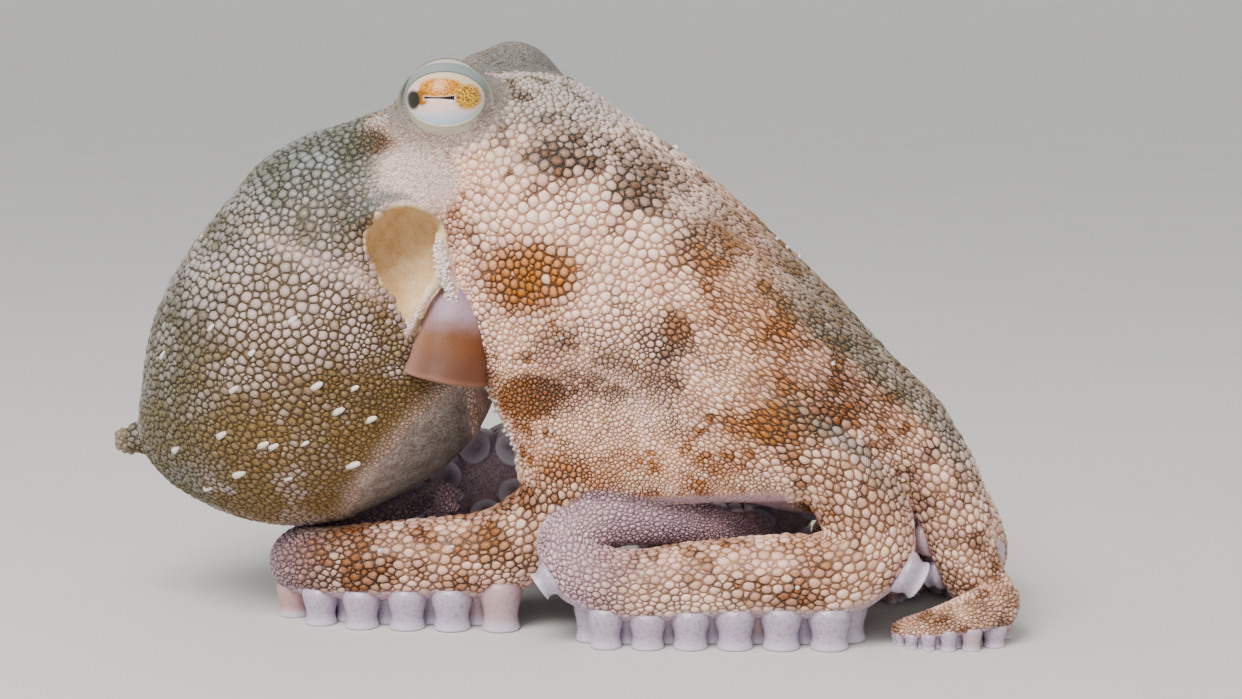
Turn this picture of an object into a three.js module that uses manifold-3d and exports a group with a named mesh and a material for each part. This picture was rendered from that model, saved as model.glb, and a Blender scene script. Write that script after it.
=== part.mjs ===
// Common octopus sitting up on its coiled arms, life size, in millimetres.
// +X runs from the mantle to the arms, +Y to the animal's left side, +Z up, and Z = 0 is the ground.
import * as THREE from 'three';
import { mergeVertices } from 'three/addons/utils/BufferGeometryUtils.js';
import Module from 'manifold-3d';

const wasm = await Module();
wasm.setup();

// ---- Driving dimensions (mm) ----
const CENTRE_SHIFT = new THREE.Vector3(0.3, -22.6, 0); // sets the middle of the animal over the origin
const CUT = 0.3; // thin gap between neighbouring parts
const WEB_CLEARANCE = 1.2; // round an arm where it leaves the web
const CLEARED_SHARE = 0.3; // of an arm's free length, over which the web is cut back round it
const NECK_X = -29;
const CROWN_PLANE = { point: [-10.5, 10, 86.2], tilt: -0.83 };
const MANTLE_FLATTEN = 0.92; // the bag is a little thinner from side to side than it is high
const MANTLE_MIDDLE_Y = 13;
const EYE_RADIUS = 7.6;
const SUCKER_HEIGHT = 0.6; // of the arm's radius
const SUCKER_RADIUS = 0.4; // of the arm's radius
const SUCKER_SPACING = 1.5; // along the arm, of the arm's radius
const SUCKER_ROW = 0.42; // sideways from the middle of the oral side, of the arm's radius
const SMALLEST_CUPPED_ARM = 2.4; // radius of arm below which the cups are left out
const ARM_TIP_RADIUS = 1.2;
const ARM_SIDES = 8;
const RING_SPACING = 6; // along an arm
const SUCKER_SIDES = 5;
const LENGTH_STEPS = 600; // steps in which an arm's length is measured
const MANTLE_GRID = [17, 22]; // rings and spokes of each skin
const HEAD_GRID = [16, 22];
const WEB_GRID = [20, 26];
const OPENING_GRID = [10, 12];

// Balls [x, y, z, radius] joined in a chain give each rounded mass of the body.
const MANTLE = [
  [-81, 15, 32, 2.6], [-75, 15, 33.5, 5.5], [-61, 14, 37.5, 18.2], [-45.6, 13, 48.5, 30.4],
  [-38.5, 12, 67, 23.2],
];
const MANTLE_BELLY = [[-38, 12.5, 47, 22], [-32.5, 12, 46, 19.5]];
const MANTLE_LIP = [
  [-24, -4.5, 77, 1.5], [-31, -6.5, 77.5, 1.6], [-36.5, -9, 73.5, 1.7], [-36, -10, 67, 1.7],
  [-32.5, -10.5, 59, 1.7], [-28.5, -10.5, 52.5, 1.4],
];
const MANTLE_OPENING = [
  [-28.7, -4, 70, 6.9], [-27.7, -4.5, 65.5, 5.9], [-27.8, -6, 60.5, 3.2], [-27, -7, 55, 0.8],
];
const NECK = [[-39, 11, 69.5, 20], [-29, 8, 81.5, 12.5], [-17, 6, 86.5, 11.2]];
const HEAD = [[-20.5, 4, 88.5, 10], [-11, 10, 88, 12], [-2, 9, 80.5, 13]];
const EYE_MOUNDS = [[[-20.5, -1, 95, 8.6]], [[-14.2, 21.5, 96.2, 8.2], [-10, 23, 96.9, 9.2]]];
const EYES = { right: [-20.5, -2.6, 95.4], left: [-9.5, 24.6, 97] };
const CROWN_CORE = [[-6.5, 8, 79, 13.5], [8, 9, 61, 18], [25, 11, 42, 21.5], [38, 13, 32, 20]];
const WEB_EDGE = [[2, -2, 29.5, 8], [14, -5, 31.5, 8.2], [27, -8, 33, 8.5], [40, -10, 33.5, 8.5]];
const FOLD_THICKNESS = 0.6; // of the arms' radii, where web spans from arm to arm
const WEB_NEIGHBOURS = ['l4', 'r4', 'r3', 'r2', 'r1', 'l1', 'l2', 'l3', 'l4']; // in order round the mouth
const WEB_STEPS = 24; // samples along an arm's part in the web
const CHAIN_STEPS = 6; // balls by which a smooth chain passes from one of its balls to the next
const WEB_HOLLOW = [22, 12, -30, 56]; // the shallow hollow over the mouth side, cut by a great ball
const FUNNEL = {
  top: [-18.5, -4, 64],
  mouth: [-21.3, -8, 47],
  topRadius: 2.2,
  mouthRadius: 7.8,
  wall: 1.2,
};

// Inner axes from which the outer skin of each mass is found.
const MANTLE_AXIS = { tail: [-60, 14.2, 40], neck: [-38, 12.6, 52] };
const HEAD_AXIS = { mantle: [-22, 7, 87], crown: [-8, 10, 89] };
const WEB_AXIS = { head: [0, 10, 80], base: [38, 14, 33] };
const OPENING_AXIS = { top: [-28.5, -4, 70], foot: [-27.5, -6, 60] };

// Each arm: its radius where it leaves the head, how late it tapers, the number of route points
// that lie in the web, and its route as chosen points from the head towards the tip. A point
// with no height rests on the ground on its suckers. A coil winds the tip up on the ground.
const ARMS = {
  r1: { radius: 9.2, taper: 2.6, webPoints: 6, coil: { radius: 8, turns: 1, side: 1 }, route: [
    [-3.5, 6, 87], [14.5, 6, 76.5], [29, 7, 65.5], [43, 8, 53.5], [54.5, 9, 42], [63.5, 11, 31],
    [72.5, 13, 20], [77.5, 18], [75, 26], [67.5, 30]] },
  r2: { radius: 8.8, taper: 3.2, webPoints: 6, route: [
    [-0.5, -3, 81.7], [13.6, -5, 72.2], [27.7, -7, 62.6], [41.8, -9, 52.7], [52.5, -9, 44.7],
    [60.6, -9, 37.5], [66.5, -8.5, 29.7], [70, -8, 21.5], [72, -7, 14.8], [74.5, -6, 9.4], [77, -10.5, 6.6],
    [73.5, -15], [67, -16.5], [61, -15], [59, -10]] },
  r3: { radius: 8.6, taper: 3.2, webPoints: 4, route: [
    [-7.5, -4, 78.5], [5, -8, 61], [20.5, -10, 49], [36.5, -11, 39], [46.5, -11, 33.5], [52.5, -11, 25.5],
    [54.5, -12, 17.5], [48.5, -13], [38.5, -13], [24, -13], [11, -13, 10.5],
    [3, -12, 13], [0.8, -10, 17.6], [6, -7.5, 21], [15.5, -6, 21.2], [24.5, -4.5, 20], [33, 0.5, 17.2],
    [37, 9, 14], [32, 15, 11]] },
  r4: { radius: 8.5, taper: 3.4, webPoints: 4, route: [
    [-13.5, 1, 76], [-10.5, -1, 62], [-5.5, -2, 47], [0.3, -2, 32], [-1, -1, 21.8], [-11.8, 0, 14],
    [-24.5, 1], [-37.5, 2], [-46.5, 6], [-49.5, 13], [-45, 19, 12], [-35.7, 22, 15.8],
    [-27, 21, 19.5], [-22.6, 17, 21], [-23.5, 14.5, 18.3], [-26.2, 17, 16.5]] },
  l1: { radius: 9.2, taper: 2.6, webPoints: 6, coil: { radius: 8, turns: 1, side: 1 }, route: [
    [0, 16, 88.5], [18.5, 20, 75.5], [32.7, 24, 63], [47.3, 28, 49], [58.5, 32, 35.5], [66, 38, 22],
    [70, 45], [68.5, 53], [62, 57]] },
  l2: { radius: 9.1, taper: 2.6, webPoints: 5, coil: { radius: 12, turns: 1.1, side: 1 }, route: [
    [-1, 20, 82], [12, 30, 66], [25.5, 36, 50], [37.5, 41, 34], [43, 45.5, 20], [42, 53], [34, 59]] },
  l3: { radius: 8.9, taper: 2.6, webPoints: 4, coil: { radius: 8, turns: 1.2, side: -1 }, route: [
    [-3, 20, 76.5], [2.5, 28, 58.5], [8, 34, 40], [9.5, 38, 26], [4, 43], [-5, 46.5], [-16, 47.5],
    [-28, 46]] },
  l4: { radius: 8.7, taper: 2.6, webPoints: 4, coil: { radius: 6, turns: 0.8, side: -1 }, route: [
    [-6.5, 14, 74], [-5, 19, 57.5], [-1, 23, 42], [-1.5, 26, 32], [-6.3, 27.5, 27.7], [-15.5, 30, 23.2],
    [-27, 32, 18], [-38, 34, 13.5], [-47, 36.5]] },
};
const ARM_LENGTHS = { base: [0, 0.36], mid: [0.36, 0.68], tip: [0.68, 1] }; // shares of the free arm

// Skin colours: pale flesh mottled with brown, ochre funnel, gold iris.
const SKIN = { color: 0xc9b09c, roughness: 0.62, metalness: 0 };
const MANTLE_SKIN = { color: 0xb59f86, roughness: 0.6, metalness: 0 };
const FUNNEL_SKIN = { color: 0xc08a63, roughness: 0.5, metalness: 0 };
const EYE_SURFACE = { color: 0xc59a4e, roughness: 0.15, metalness: 0 };

// ---- Fields: negative inside, positive outside, in mm ----
const webFolds = []; // short chains across the web from arm to arm

function ballChainDistance(point, balls) {
  let nearest = Infinity;
  if (balls.length === 1) {
    const [x, y, z, radius] = balls[0];
    return Math.hypot(point.x - x, point.y - y, point.z - z) - radius;
  }
  for (let i = 0; i + 1 < balls.length; i += 1) {
    const [ax, ay, az, startRadius] = balls[i];
    const [bx, by, bz, endRadius] = balls[i + 1];
    const length2 = (bx - ax) ** 2 + (by - ay) ** 2 + (bz - az) ** 2;
    const along = (point.x - ax) * (bx - ax) + (point.y - ay) * (by - ay) + (point.z - az) * (bz - az);
    const share = THREE.MathUtils.clamp(along / length2, 0, 1);
    const away = Math.hypot(
      point.x - ax - share * (bx - ax),
      point.y - ay - share * (by - ay),
      point.z - az - share * (bz - az),
    );
    nearest = Math.min(nearest, away - THREE.MathUtils.lerp(startRadius, endRadius, share));
  }
  return nearest;
}

// The lesser of two distances, with the crease between them filled over the blend's width.
function smoothMin(a, b, blend) {
  const h = Math.max(blend - Math.abs(a - b), 0) / blend;
  return Math.min(a, b) - (h * h * blend) / 4;
}

// A chain with its places and radii carried smoothly through its balls.
function smoothChain(balls) {
  const steps = CHAIN_STEPS * (balls.length - 1);
  const smooth = (vectors) => new THREE.CatmullRomCurve3(vectors, false, 'catmullrom');
  const places = smooth(balls.map(([x, y, z]) => new THREE.Vector3(x, y, z)));
  const radii = smooth(balls.map((ball) => new THREE.Vector3(ball[3], 0, 0)));
  return Array.from({ length: steps + 1 }, (_, i) => [
    ...places.getPoint(i / steps).toArray(),
    radii.getPoint(i / steps).x,
  ]);
}

const MANTLE_BALLS = smoothChain(MANTLE);

function mantleField(point) {
  const round = point.clone();
  round.y = MANTLE_MIDDLE_Y + (point.y - MANTLE_MIDDLE_Y) / MANTLE_FLATTEN;
  const belly = ballChainDistance(round, MANTLE_BELLY);
  const bag = MANTLE_FLATTEN * smoothMin(ballChainDistance(round, MANTLE_BALLS), belly, 6);
  const neck = ballChainDistance(point, NECK);
  return smoothMin(smoothMin(bag, neck, 6), ballChainDistance(point, MANTLE_LIP), 2);
}

function headField(point) {
  let field = ballChainDistance(point, HEAD);
  for (const mound of EYE_MOUNDS) {
    field = smoothMin(field, ballChainDistance(point, mound), 5);
  }
  return field;
}

function crownField(point) {
  let field = smoothMin(ballChainDistance(point, CROWN_CORE), ballChainDistance(point, WEB_EDGE), 6);
  for (const arm of Object.values(ARMS)) {
    field = smoothMin(field, ballChainDistance(point, arm.webBalls), 6);
  }
  const folds = webFolds.map((fold) => ballChainDistance(point, fold));
  field = smoothMin(field, Math.min(...folds), 6);
  return field;
}

function webField(point) {
  return smoothMin(headField(point), crownField(point), 8);
}

function wholeField(point) {
  return smoothMin(webField(point), mantleField(point), 6);
}

// ---- Solids ----
function solidFrom(geometry) {
  geometry.deleteAttribute('normal');
  geometry.deleteAttribute('uv');
  const welded = mergeVertices(geometry, 1e-4);
  return new wasm.Manifold(new wasm.Mesh({
    numProp: 3,
    vertProperties: welded.attributes.position.array,
    triVerts: new Uint32Array(welded.index.array),
  }));
}

function geometryFrom(solid) {
  const mesh = solid.getMesh();
  const geometry = new THREE.BufferGeometry();
  geometry.setAttribute('position', new THREE.BufferAttribute(mesh.vertProperties, 3));
  geometry.setIndex(new THREE.BufferAttribute(mesh.triVerts, 1));
  geometry.computeVertexNormals();
  return geometry;
}

// The biggest connected body, so that a cut's crumbs are left out.
function biggestBody(solid) {
  return solid.decompose().reduce((a, b) => (a.volume() > b.volume() ? a : b));
}

// A sphere's points pushed out from an inner axis to where the field ends: the outermost skin.
function skinSolid(field, axisStart, axisEnd, [rings, spokes], grow = 0) {
  const FARTHEST = 130;
  const start = new THREE.Vector3(...axisStart);
  const end = new THREE.Vector3(...axisEnd);
  const turn = new THREE.Quaternion().setFromUnitVectors(
    new THREE.Vector3(0, -1, 0),
    end.clone().sub(start).normalize(),
  );
  const sphere = new THREE.SphereGeometry(1, spokes, rings);
  sphere.deleteAttribute('normal');
  sphere.deleteAttribute('uv');
  const geometry = mergeVertices(sphere, 1e-4);
  const position = geometry.attributes.position;
  for (let i = 0; i < position.count; i += 1) {
    const direction = new THREE.Vector3().fromBufferAttribute(position, i);
    const root = start.clone().lerp(end, (1 - direction.y) / 2);
    direction.applyQuaternion(turn);
    let reach = FARTHEST;
    for (let step = 0; step < 200; step += 1) {
      const gap = field(root.clone().addScaledVector(direction, reach));
      if (gap < 0.005) break;
      reach -= gap * 0.8;
    }
    root.addScaledVector(direction, Math.max(reach, 1) + grow);
    position.setXYZ(i, root.x, root.y, root.z);
  }
  return solidFrom(geometry);
}

function boxSolid(centre, size, tiltY = 0) {
  const box = new THREE.BoxGeometry(...size);
  box.rotateY(tiltY);
  box.translate(...centre);
  return solidFrom(box);
}

// ---- Arms ----
function armRadius(arm, share) {
  return ARM_TIP_RADIUS + (arm.radius - ARM_TIP_RADIUS) * (1 - share ** arm.taper);
}

// Points that wind inwards from the end of a route, flat on the ground.
function coilPoints(route, coil) {
  const STEP = Math.PI / 3;
  const [before, last] = route.slice(-2);
  const heading = Math.atan2(last[1] - before[1], last[0] - before[0]);
  const toCentre = heading + (coil.side * Math.PI) / 2;
  const centreX = last[0] + Math.cos(toCentre) * coil.radius;
  const centreY = last[1] + Math.sin(toCentre) * coil.radius;
  const count = Math.round((coil.turns * 2 * Math.PI) / STEP);
  return Array.from({ length: count }, (_, i) => {
    const angle = toCentre + Math.PI + coil.side * STEP * (i + 1);
    const radius = coil.radius * (1 - 0.75 * ((i + 1) / count));
    return [centreX + Math.cos(angle) * radius, centreY + Math.sin(angle) * radius];
  });
}

// The shares of the whole length at which the route's points lie.
function pointShares(curve, count) {
  const lengths = curve.getLengths();
  const whole = lengths[LENGTH_STEPS];
  const stepOf = (i) => Math.round((i * LENGTH_STEPS) / (count - 1));
  return Array.from({ length: count }, (_, i) => lengths[stepOf(i)] / whole);
}

function prepareArm(arm) {
  const route = arm.coil ? [...arm.route, ...coilPoints(arm.route, arm.coil)] : arm.route;
  const points = route.map(([x, y, z]) => new THREE.Vector3(x, y, z ?? 6));
  for (let pass = 0; pass < 3; pass += 1) {
    arm.curve = new THREE.CatmullRomCurve3(points.map((p) => p.clone()));
    arm.curve.arcLengthDivisions = LENGTH_STEPS;
    const shares = pointShares(arm.curve, route.length);
    arm.webShare = shares[arm.webPoints - 1];
    points.forEach((point, i) => {
      if (route[i].length === 2) point.z = armRadius(arm, shares[i]) * (1 + SUCKER_HEIGHT);
    });
  }
  arm.webBalls = Array.from({ length: WEB_STEPS + 1 }, (_, i) => {
    const share = (arm.webShare * i) / WEB_STEPS;
    return [...arm.curve.getPointAt(share).toArray(), armRadius(arm, share)];
  });
}

function thinBall([x, y, z, radius]) {
  return [x, y, z, radius * FOLD_THICKNESS];
}

// A round tapering length of an arm between two shares of its whole length.
function armLengthGeometry(arm, from, to, grow) {
  const length = arm.curve.getLength() * (to - from);
  const rings = Math.max(4, Math.round(length / RING_SPACING));
  const positions = [];
  const indices = [];
  const side = new THREE.Vector3();
  const up = new THREE.Vector3(0, 0, 1);
  for (let i = 0; i <= rings; i += 1) {
    const share = THREE.MathUtils.lerp(from, to, i / rings);
    const centre = arm.curve.getPointAt(share);
    const tangent = arm.curve.getTangentAt(share);
    if (i === 0) side.crossVectors(tangent, up).normalize();
    side.addScaledVector(tangent, -side.dot(tangent)).normalize();
    const across = new THREE.Vector3().crossVectors(tangent, side);
    const isTip = to === 1 && i === rings;
    const radius = (isTip ? 0.6 : 1) * armRadius(arm, share) + grow;
    for (let k = 0; k < ARM_SIDES; k += 1) {
      const angle = (2 * Math.PI * k) / ARM_SIDES;
      const vertex = centre.clone().addScaledVector(side, Math.cos(angle) * radius);
      vertex.addScaledVector(across, Math.sin(angle) * radius);
      positions.push(...vertex.toArray());
    }
  }
  for (let i = 0; i < rings; i += 1) {
    for (let k = 0; k < ARM_SIDES; k += 1) {
      const a = i * ARM_SIDES + k;
      const b = i * ARM_SIDES + ((k + 1) % ARM_SIDES);
      indices.push(a, b, b + ARM_SIDES, a, b + ARM_SIDES, a + ARM_SIDES);
    }
  }
  for (const [ring, flip] of [[0, true], [rings, false]]) {
    for (let k = 1; k + 1 < ARM_SIDES; k += 1) {
      const fan = [ring * ARM_SIDES, ring * ARM_SIDES + k, ring * ARM_SIDES + k + 1];
      indices.push(...(flip ? fan.reverse() : fan));
    }
  }
  const geometry = new THREE.BufferGeometry();
  geometry.setAttribute('position', new THREE.Float32BufferAttribute(positions, 3));
  geometry.setIndex(indices);
  return geometry;
}

// Two rows of cups under a length of arm, where it lies near the ground, with flat bottoms on it.
function groundSuckers(arm, from, to, grow) {
  const cups = [];
  const whole = arm.curve.getLength();
  let share = from;
  let row = 1;
  while (share < to) {
    const radius = armRadius(arm, share);
    const centre = arm.curve.getPointAt(share);
    const tangent = arm.curve.getTangentAt(share);
    const isLow = centre.z < radius * (1 + SUCKER_HEIGHT) + 2.5 && Math.abs(tangent.z) < 0.6;
    if (isLow && radius > SMALLEST_CUPPED_ARM) {
      const sideways = new THREE.Vector3(-tangent.y, tangent.x, 0).normalize();
      const foot = centre.clone().addScaledVector(sideways, row * SUCKER_ROW * radius);
      const top = centre.z - radius * 0.45;
      const cup = new THREE.CylinderGeometry(
        radius * SUCKER_RADIUS + grow,
        radius * SUCKER_RADIUS + grow,
        top + grow,
        SUCKER_SIDES,
      );
      cup.rotateX(Math.PI / 2);
      cup.translate(foot.x, foot.y, (top - grow) / 2);
      cups.push(solidFrom(cup));
    }
    share += (radius * SUCKER_SPACING) / 2 / whole;
    row = -row;
  }
  return cups;
}

function armLengthSolid(arm, from, to, grow = 0) {
  let solid = solidFrom(armLengthGeometry(arm, from, to, grow));
  const margin = (0.8 / arm.curve.getLength()) * armRadius(arm, from) * SUCKER_RADIUS;
  for (const cup of groundSuckers(arm, from + margin, to - margin, grow)) {
    solid = solid.add(cup);
  }
  return solid;
}

// ---- Funnel: a hollow cone that opens downwards ----
function funnelSolid(grow = 0) {
  const top = new THREE.Vector3(...FUNNEL.top);
  const mouth = new THREE.Vector3(...FUNNEL.mouth);
  const length = top.distanceTo(mouth);
  const outer = new THREE.SplineCurve([
    new THREE.Vector2(FUNNEL.topRadius + grow, 0),
    new THREE.Vector2(FUNNEL.mouthRadius * 0.72 + grow, length * 0.45),
    new THREE.Vector2(FUNNEL.mouthRadius + grow, length + grow),
  ]).getPoints(6);
  const profile = [new THREE.Vector2(0, -grow), ...outer];
  if (grow === 0) {
    for (const point of outer.slice(2).reverse()) {
      profile.push(new THREE.Vector2(point.x - FUNNEL.wall, point.y));
    }
    profile.push(new THREE.Vector2(0, length * 0.3));
  } else {
    profile.push(new THREE.Vector2(0, length + grow));
  }
  const cone = new THREE.LatheGeometry(profile, 12);
  cone.applyQuaternion(new THREE.Quaternion().setFromUnitVectors(
    new THREE.Vector3(0, 1, 0),
    mouth.clone().sub(top).normalize(),
  ));
  cone.translate(...FUNNEL.top);
  return solidFrom(cone);
}

function eyeSolid(centre, grow = 0) {
  const ball = new THREE.SphereGeometry(EYE_RADIUS + grow, 14, 8);
  ball.translate(...centre);
  return solidFrom(ball);
}

// ---- Building ----
Object.values(ARMS).forEach(prepareArm);
for (let i = 0; i + 1 < WEB_NEIGHBOURS.length; i += 1) {
  const first = ARMS[WEB_NEIGHBOURS[i]].webBalls;
  const second = ARMS[WEB_NEIGHBOURS[i + 1]].webBalls;
  first.forEach((ball, k) => webFolds.push([thinBall(ball), thinBall(second[k])]));
}
const octopus = new THREE.Group();
const finished = [];

function addPart(name, solid, surface) {
  const mesh = new THREE.Mesh(geometryFrom(biggestBody(solid)), new THREE.MeshStandardMaterial(surface));
  mesh.name = name;
  mesh.position.copy(CENTRE_SHIFT);
  octopus.add(mesh);
}

// The head ends at a plane across the neck and a slanting plane under the eyes.
function neckSide(grow) {
  const SIZE = 150;
  return boxSolid([NECK_X - grow + SIZE / 2, 10, 60], [SIZE, SIZE, SIZE]);
}

function aboveCrown(grow) {
  const SIZE = 150;
  const offset = SIZE / 2 - grow;
  return boxSolid([
    CROWN_PLANE.point[0] - Math.cos(CROWN_PLANE.tilt) * offset,
    CROWN_PLANE.point[1],
    CROWN_PLANE.point[2] - Math.sin(CROWN_PLANE.tilt) * offset,
  ], [SIZE, SIZE, SIZE], -CROWN_PLANE.tilt);
}

const headZone = neckSide(0).intersect(aboveCrown(0));
const wideHeadZone = neckSide(CUT).intersect(aboveCrown(CUT));
const funnel = funnelSolid();
const wideFunnel = funnelSolid(CUT);
const hollow = new THREE.SphereGeometry(WEB_HOLLOW[3], 24, 14);
hollow.translate(...WEB_HOLLOW.slice(0, 3));
const webSkin = (grow) => skinSolid(webField, WEB_AXIS.head, WEB_AXIS.base, WEB_GRID, grow);
let web = webSkin(0).subtract(aboveCrown(CUT)).subtract(wideFunnel).subtract(solidFrom(hollow));
const wideWeb = webSkin(CUT);
const openingField = (point) => ballChainDistance(point, MANTLE_OPENING);
const opening = skinSolid(openingField, OPENING_AXIS.top, OPENING_AXIS.foot, OPENING_GRID);
const mantle = skinSolid(mantleField, MANTLE_AXIS.tail, MANTLE_AXIS.neck, MANTLE_GRID)
  .subtract(wideHeadZone)
  .subtract(wideWeb)
  .subtract(opening)
  .subtract(wideFunnel);
let head = skinSolid(wholeField, HEAD_AXIS.mantle, HEAD_AXIS.crown, HEAD_GRID)
  .intersect(headZone)
  .subtract(opening)
  .subtract(wideFunnel);
for (const centre of Object.values(EYES)) {
  head = head.subtract(eyeSolid(centre, CUT));
}

// Each arm starts at a flat end where it leaves the web, which is cut back round it.
const armParts = [];
for (const [name, arm] of Object.entries(ARMS)) {
  const free = 1 - arm.webShare;
  const gap = CUT / arm.curve.getLength();
  const rootEnd = arm.webShare + free * CLEARED_SHARE;
  web = web.subtract(solidFrom(armLengthGeometry(arm, arm.webShare - gap, rootEnd, WEB_CLEARANCE)));
  for (const [lengthName, [from, to]] of Object.entries(ARM_LENGTHS)) {
    const start = arm.webShare + free * from + (from > 0 ? gap : 0);
    const end = arm.webShare + free * to;
    let solid = armLengthSolid(arm, start, end);
    for (const other of finished) {
      solid = solid.subtract(other);
    }
    finished.push(armLengthSolid(arm, start, end, CUT));
    web = web.subtract(finished.at(-1));
    armParts.push([`arm_${name}_${lengthName}`, solid]);
  }
}

addPart('mantle', mantle, MANTLE_SKIN);
addPart('head', head, SKIN);
addPart('web', web, SKIN);
addPart('funnel', funnel, FUNNEL_SKIN);
addPart('eye_right', eyeSolid(EYES.right), EYE_SURFACE);
addPart('eye_left', eyeSolid(EYES.left), EYE_SURFACE);
for (const [name, solid] of armParts) {
  addPart(name, solid, SKIN);
}

export default octopus;
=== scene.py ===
"""Common octopus on its coiled arms: skin, cobbles, suckers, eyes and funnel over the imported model."""

import math

import bpy
import numpy as np
import openvdb
from bpy.props import FloatProperty, IntProperty, PointerProperty
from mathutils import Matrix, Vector
from mathutils.kdtree import KDTree


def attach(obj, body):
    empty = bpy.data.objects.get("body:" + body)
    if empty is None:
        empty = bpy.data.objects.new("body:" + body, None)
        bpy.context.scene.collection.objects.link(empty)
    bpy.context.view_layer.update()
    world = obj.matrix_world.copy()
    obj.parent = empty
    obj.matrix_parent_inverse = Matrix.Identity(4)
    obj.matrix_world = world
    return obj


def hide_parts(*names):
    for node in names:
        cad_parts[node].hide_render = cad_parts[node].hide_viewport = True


bl_info = {
    "name": "Octopus model",
    "version": (1, 0, 0),
    "blender": (4, 5, 0),
    "location": "View3D > Sidebar > Octopus",
    "description": "Builds the skin, cobbles, suckers, eyes and funnel of a common octopus",
    "category": "Object",
}

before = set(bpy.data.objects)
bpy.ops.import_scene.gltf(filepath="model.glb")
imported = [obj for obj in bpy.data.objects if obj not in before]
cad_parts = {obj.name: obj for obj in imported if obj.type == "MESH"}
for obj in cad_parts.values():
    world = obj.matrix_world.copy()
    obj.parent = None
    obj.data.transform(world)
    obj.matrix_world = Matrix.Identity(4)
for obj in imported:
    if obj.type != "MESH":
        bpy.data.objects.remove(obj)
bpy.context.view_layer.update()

# ---- The animal's shape, in millimetres, as the solids have it ----
MM = 0.001
CENTRE_SHIFT = np.array([0.3, -22.6, 0.0])
MANTLE_FLATTEN = 0.92
MANTLE_MIDDLE_Y = 13.0
ARM_TIP_RADIUS = 1.2
SUCKER_HEIGHT = 0.6  # of the arm's radius
FIRST_HEIGHT = 6.0  # where a grounded point starts, before its radius is known

MANTLE = [
    (-81, 15, 32, 2.6), (-75, 15, 33.5, 5.5), (-61, 14, 37.5, 18.2), (-45.6, 13, 48.5, 30.4),
    (-38.5, 12, 67, 23.2),
]
MANTLE_BELLY = [(-38, 12.5, 47, 22), (-32.5, 12, 46, 19.5)]
MANTLE_LIP = [
    (-24, -4.5, 77, 1.5), (-31, -6.5, 77.5, 1.6), (-36.5, -9, 73.5, 1.7), (-36, -10, 67, 1.7),
    (-32.5, -10.5, 59, 1.7), (-28.5, -10.5, 52.5, 1.4),
]
MANTLE_OPENING = [(-28.7, -4, 70, 6.9), (-27.7, -4.5, 65.5, 5.9), (-27.8, -6, 60.5, 3.2), (-27, -7, 55, 0.8)]
NECK = [(-39, 11, 69.5, 20), (-29, 8, 81.5, 12.5), (-17, 6, 86.5, 11.2)]
HEAD = [(-20.5, 4, 88.5, 10), (-11, 10, 88, 12), (-2, 9, 80.5, 13)]
EYE_MOUNDS = [[(-20.5, -1, 95, 8.6)], [(-14.2, 21.5, 96.2, 8.2), (-10, 23, 96.9, 9.2)]]
EYES = {"right": (-20.5, -2.6, 95.4), "left": (-9.5, 24.6, 97)}
EYE_RADIUS = 7.6
GAZES = {"right": (0.0, -1.0, 0.0), "left": (0.695, 0.719, 0.0)}
EYE_PIT = (7.3, 4.2, 5.2)  # half width, depth and height
THROAT_BAND = [
    (-20.6, -6, 67.5, 1.2), (-22.6, -8, 64, 1.4), (-24.9, -9.4, 60, 1.3), (-26.9, -10.6, 55.6, 0.9),
]
RIDGE = [
    (-22.3, -3.6, 71.5, 0.9), (-21, -6.2, 66.5, 1.3), (-19.2, -7.4, 61, 1.3), (-17.9, -7.8, 56.5, 1.0),
    (-16.2, -6.5, 51, 0.7),
]
VENTRAL_EDGE = [
    (-22.4, 70.5), (-21.6, 67.5), (-20.4, 63.5), (-19.2, 59.5), (-18.1, 56), (-17, 52), (-15.2, 47.5),
    (-12.9, 43), (-10.6, 38.5), (-8.8, 34.9), (-7.5, 31.7),
]
CROWN_CORE = [(-6.5, 8, 79, 13.5), (8, 9, 61, 18), (25, 11, 42, 21.5), (38, 13, 32, 20)]
WEB_EDGE = [(2, -2, 29.5, 8), (14, -5, 31.5, 8.2), (27, -8, 33, 8.5), (40, -10, 33.5, 8.5)]
FOLD_THICKNESS = 0.6
WEB_NEIGHBOURS = ("l4", "r4", "r3", "r2", "r1", "l1", "l2", "l3", "l4")
WEB_STEPS = 24
WEB_HOLLOW = (22, 12, -30, 56)
FUNNEL_TOP = (-18.5, -4, 64)
FUNNEL_MOUTH = (-21.3, -8, 47)

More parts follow.
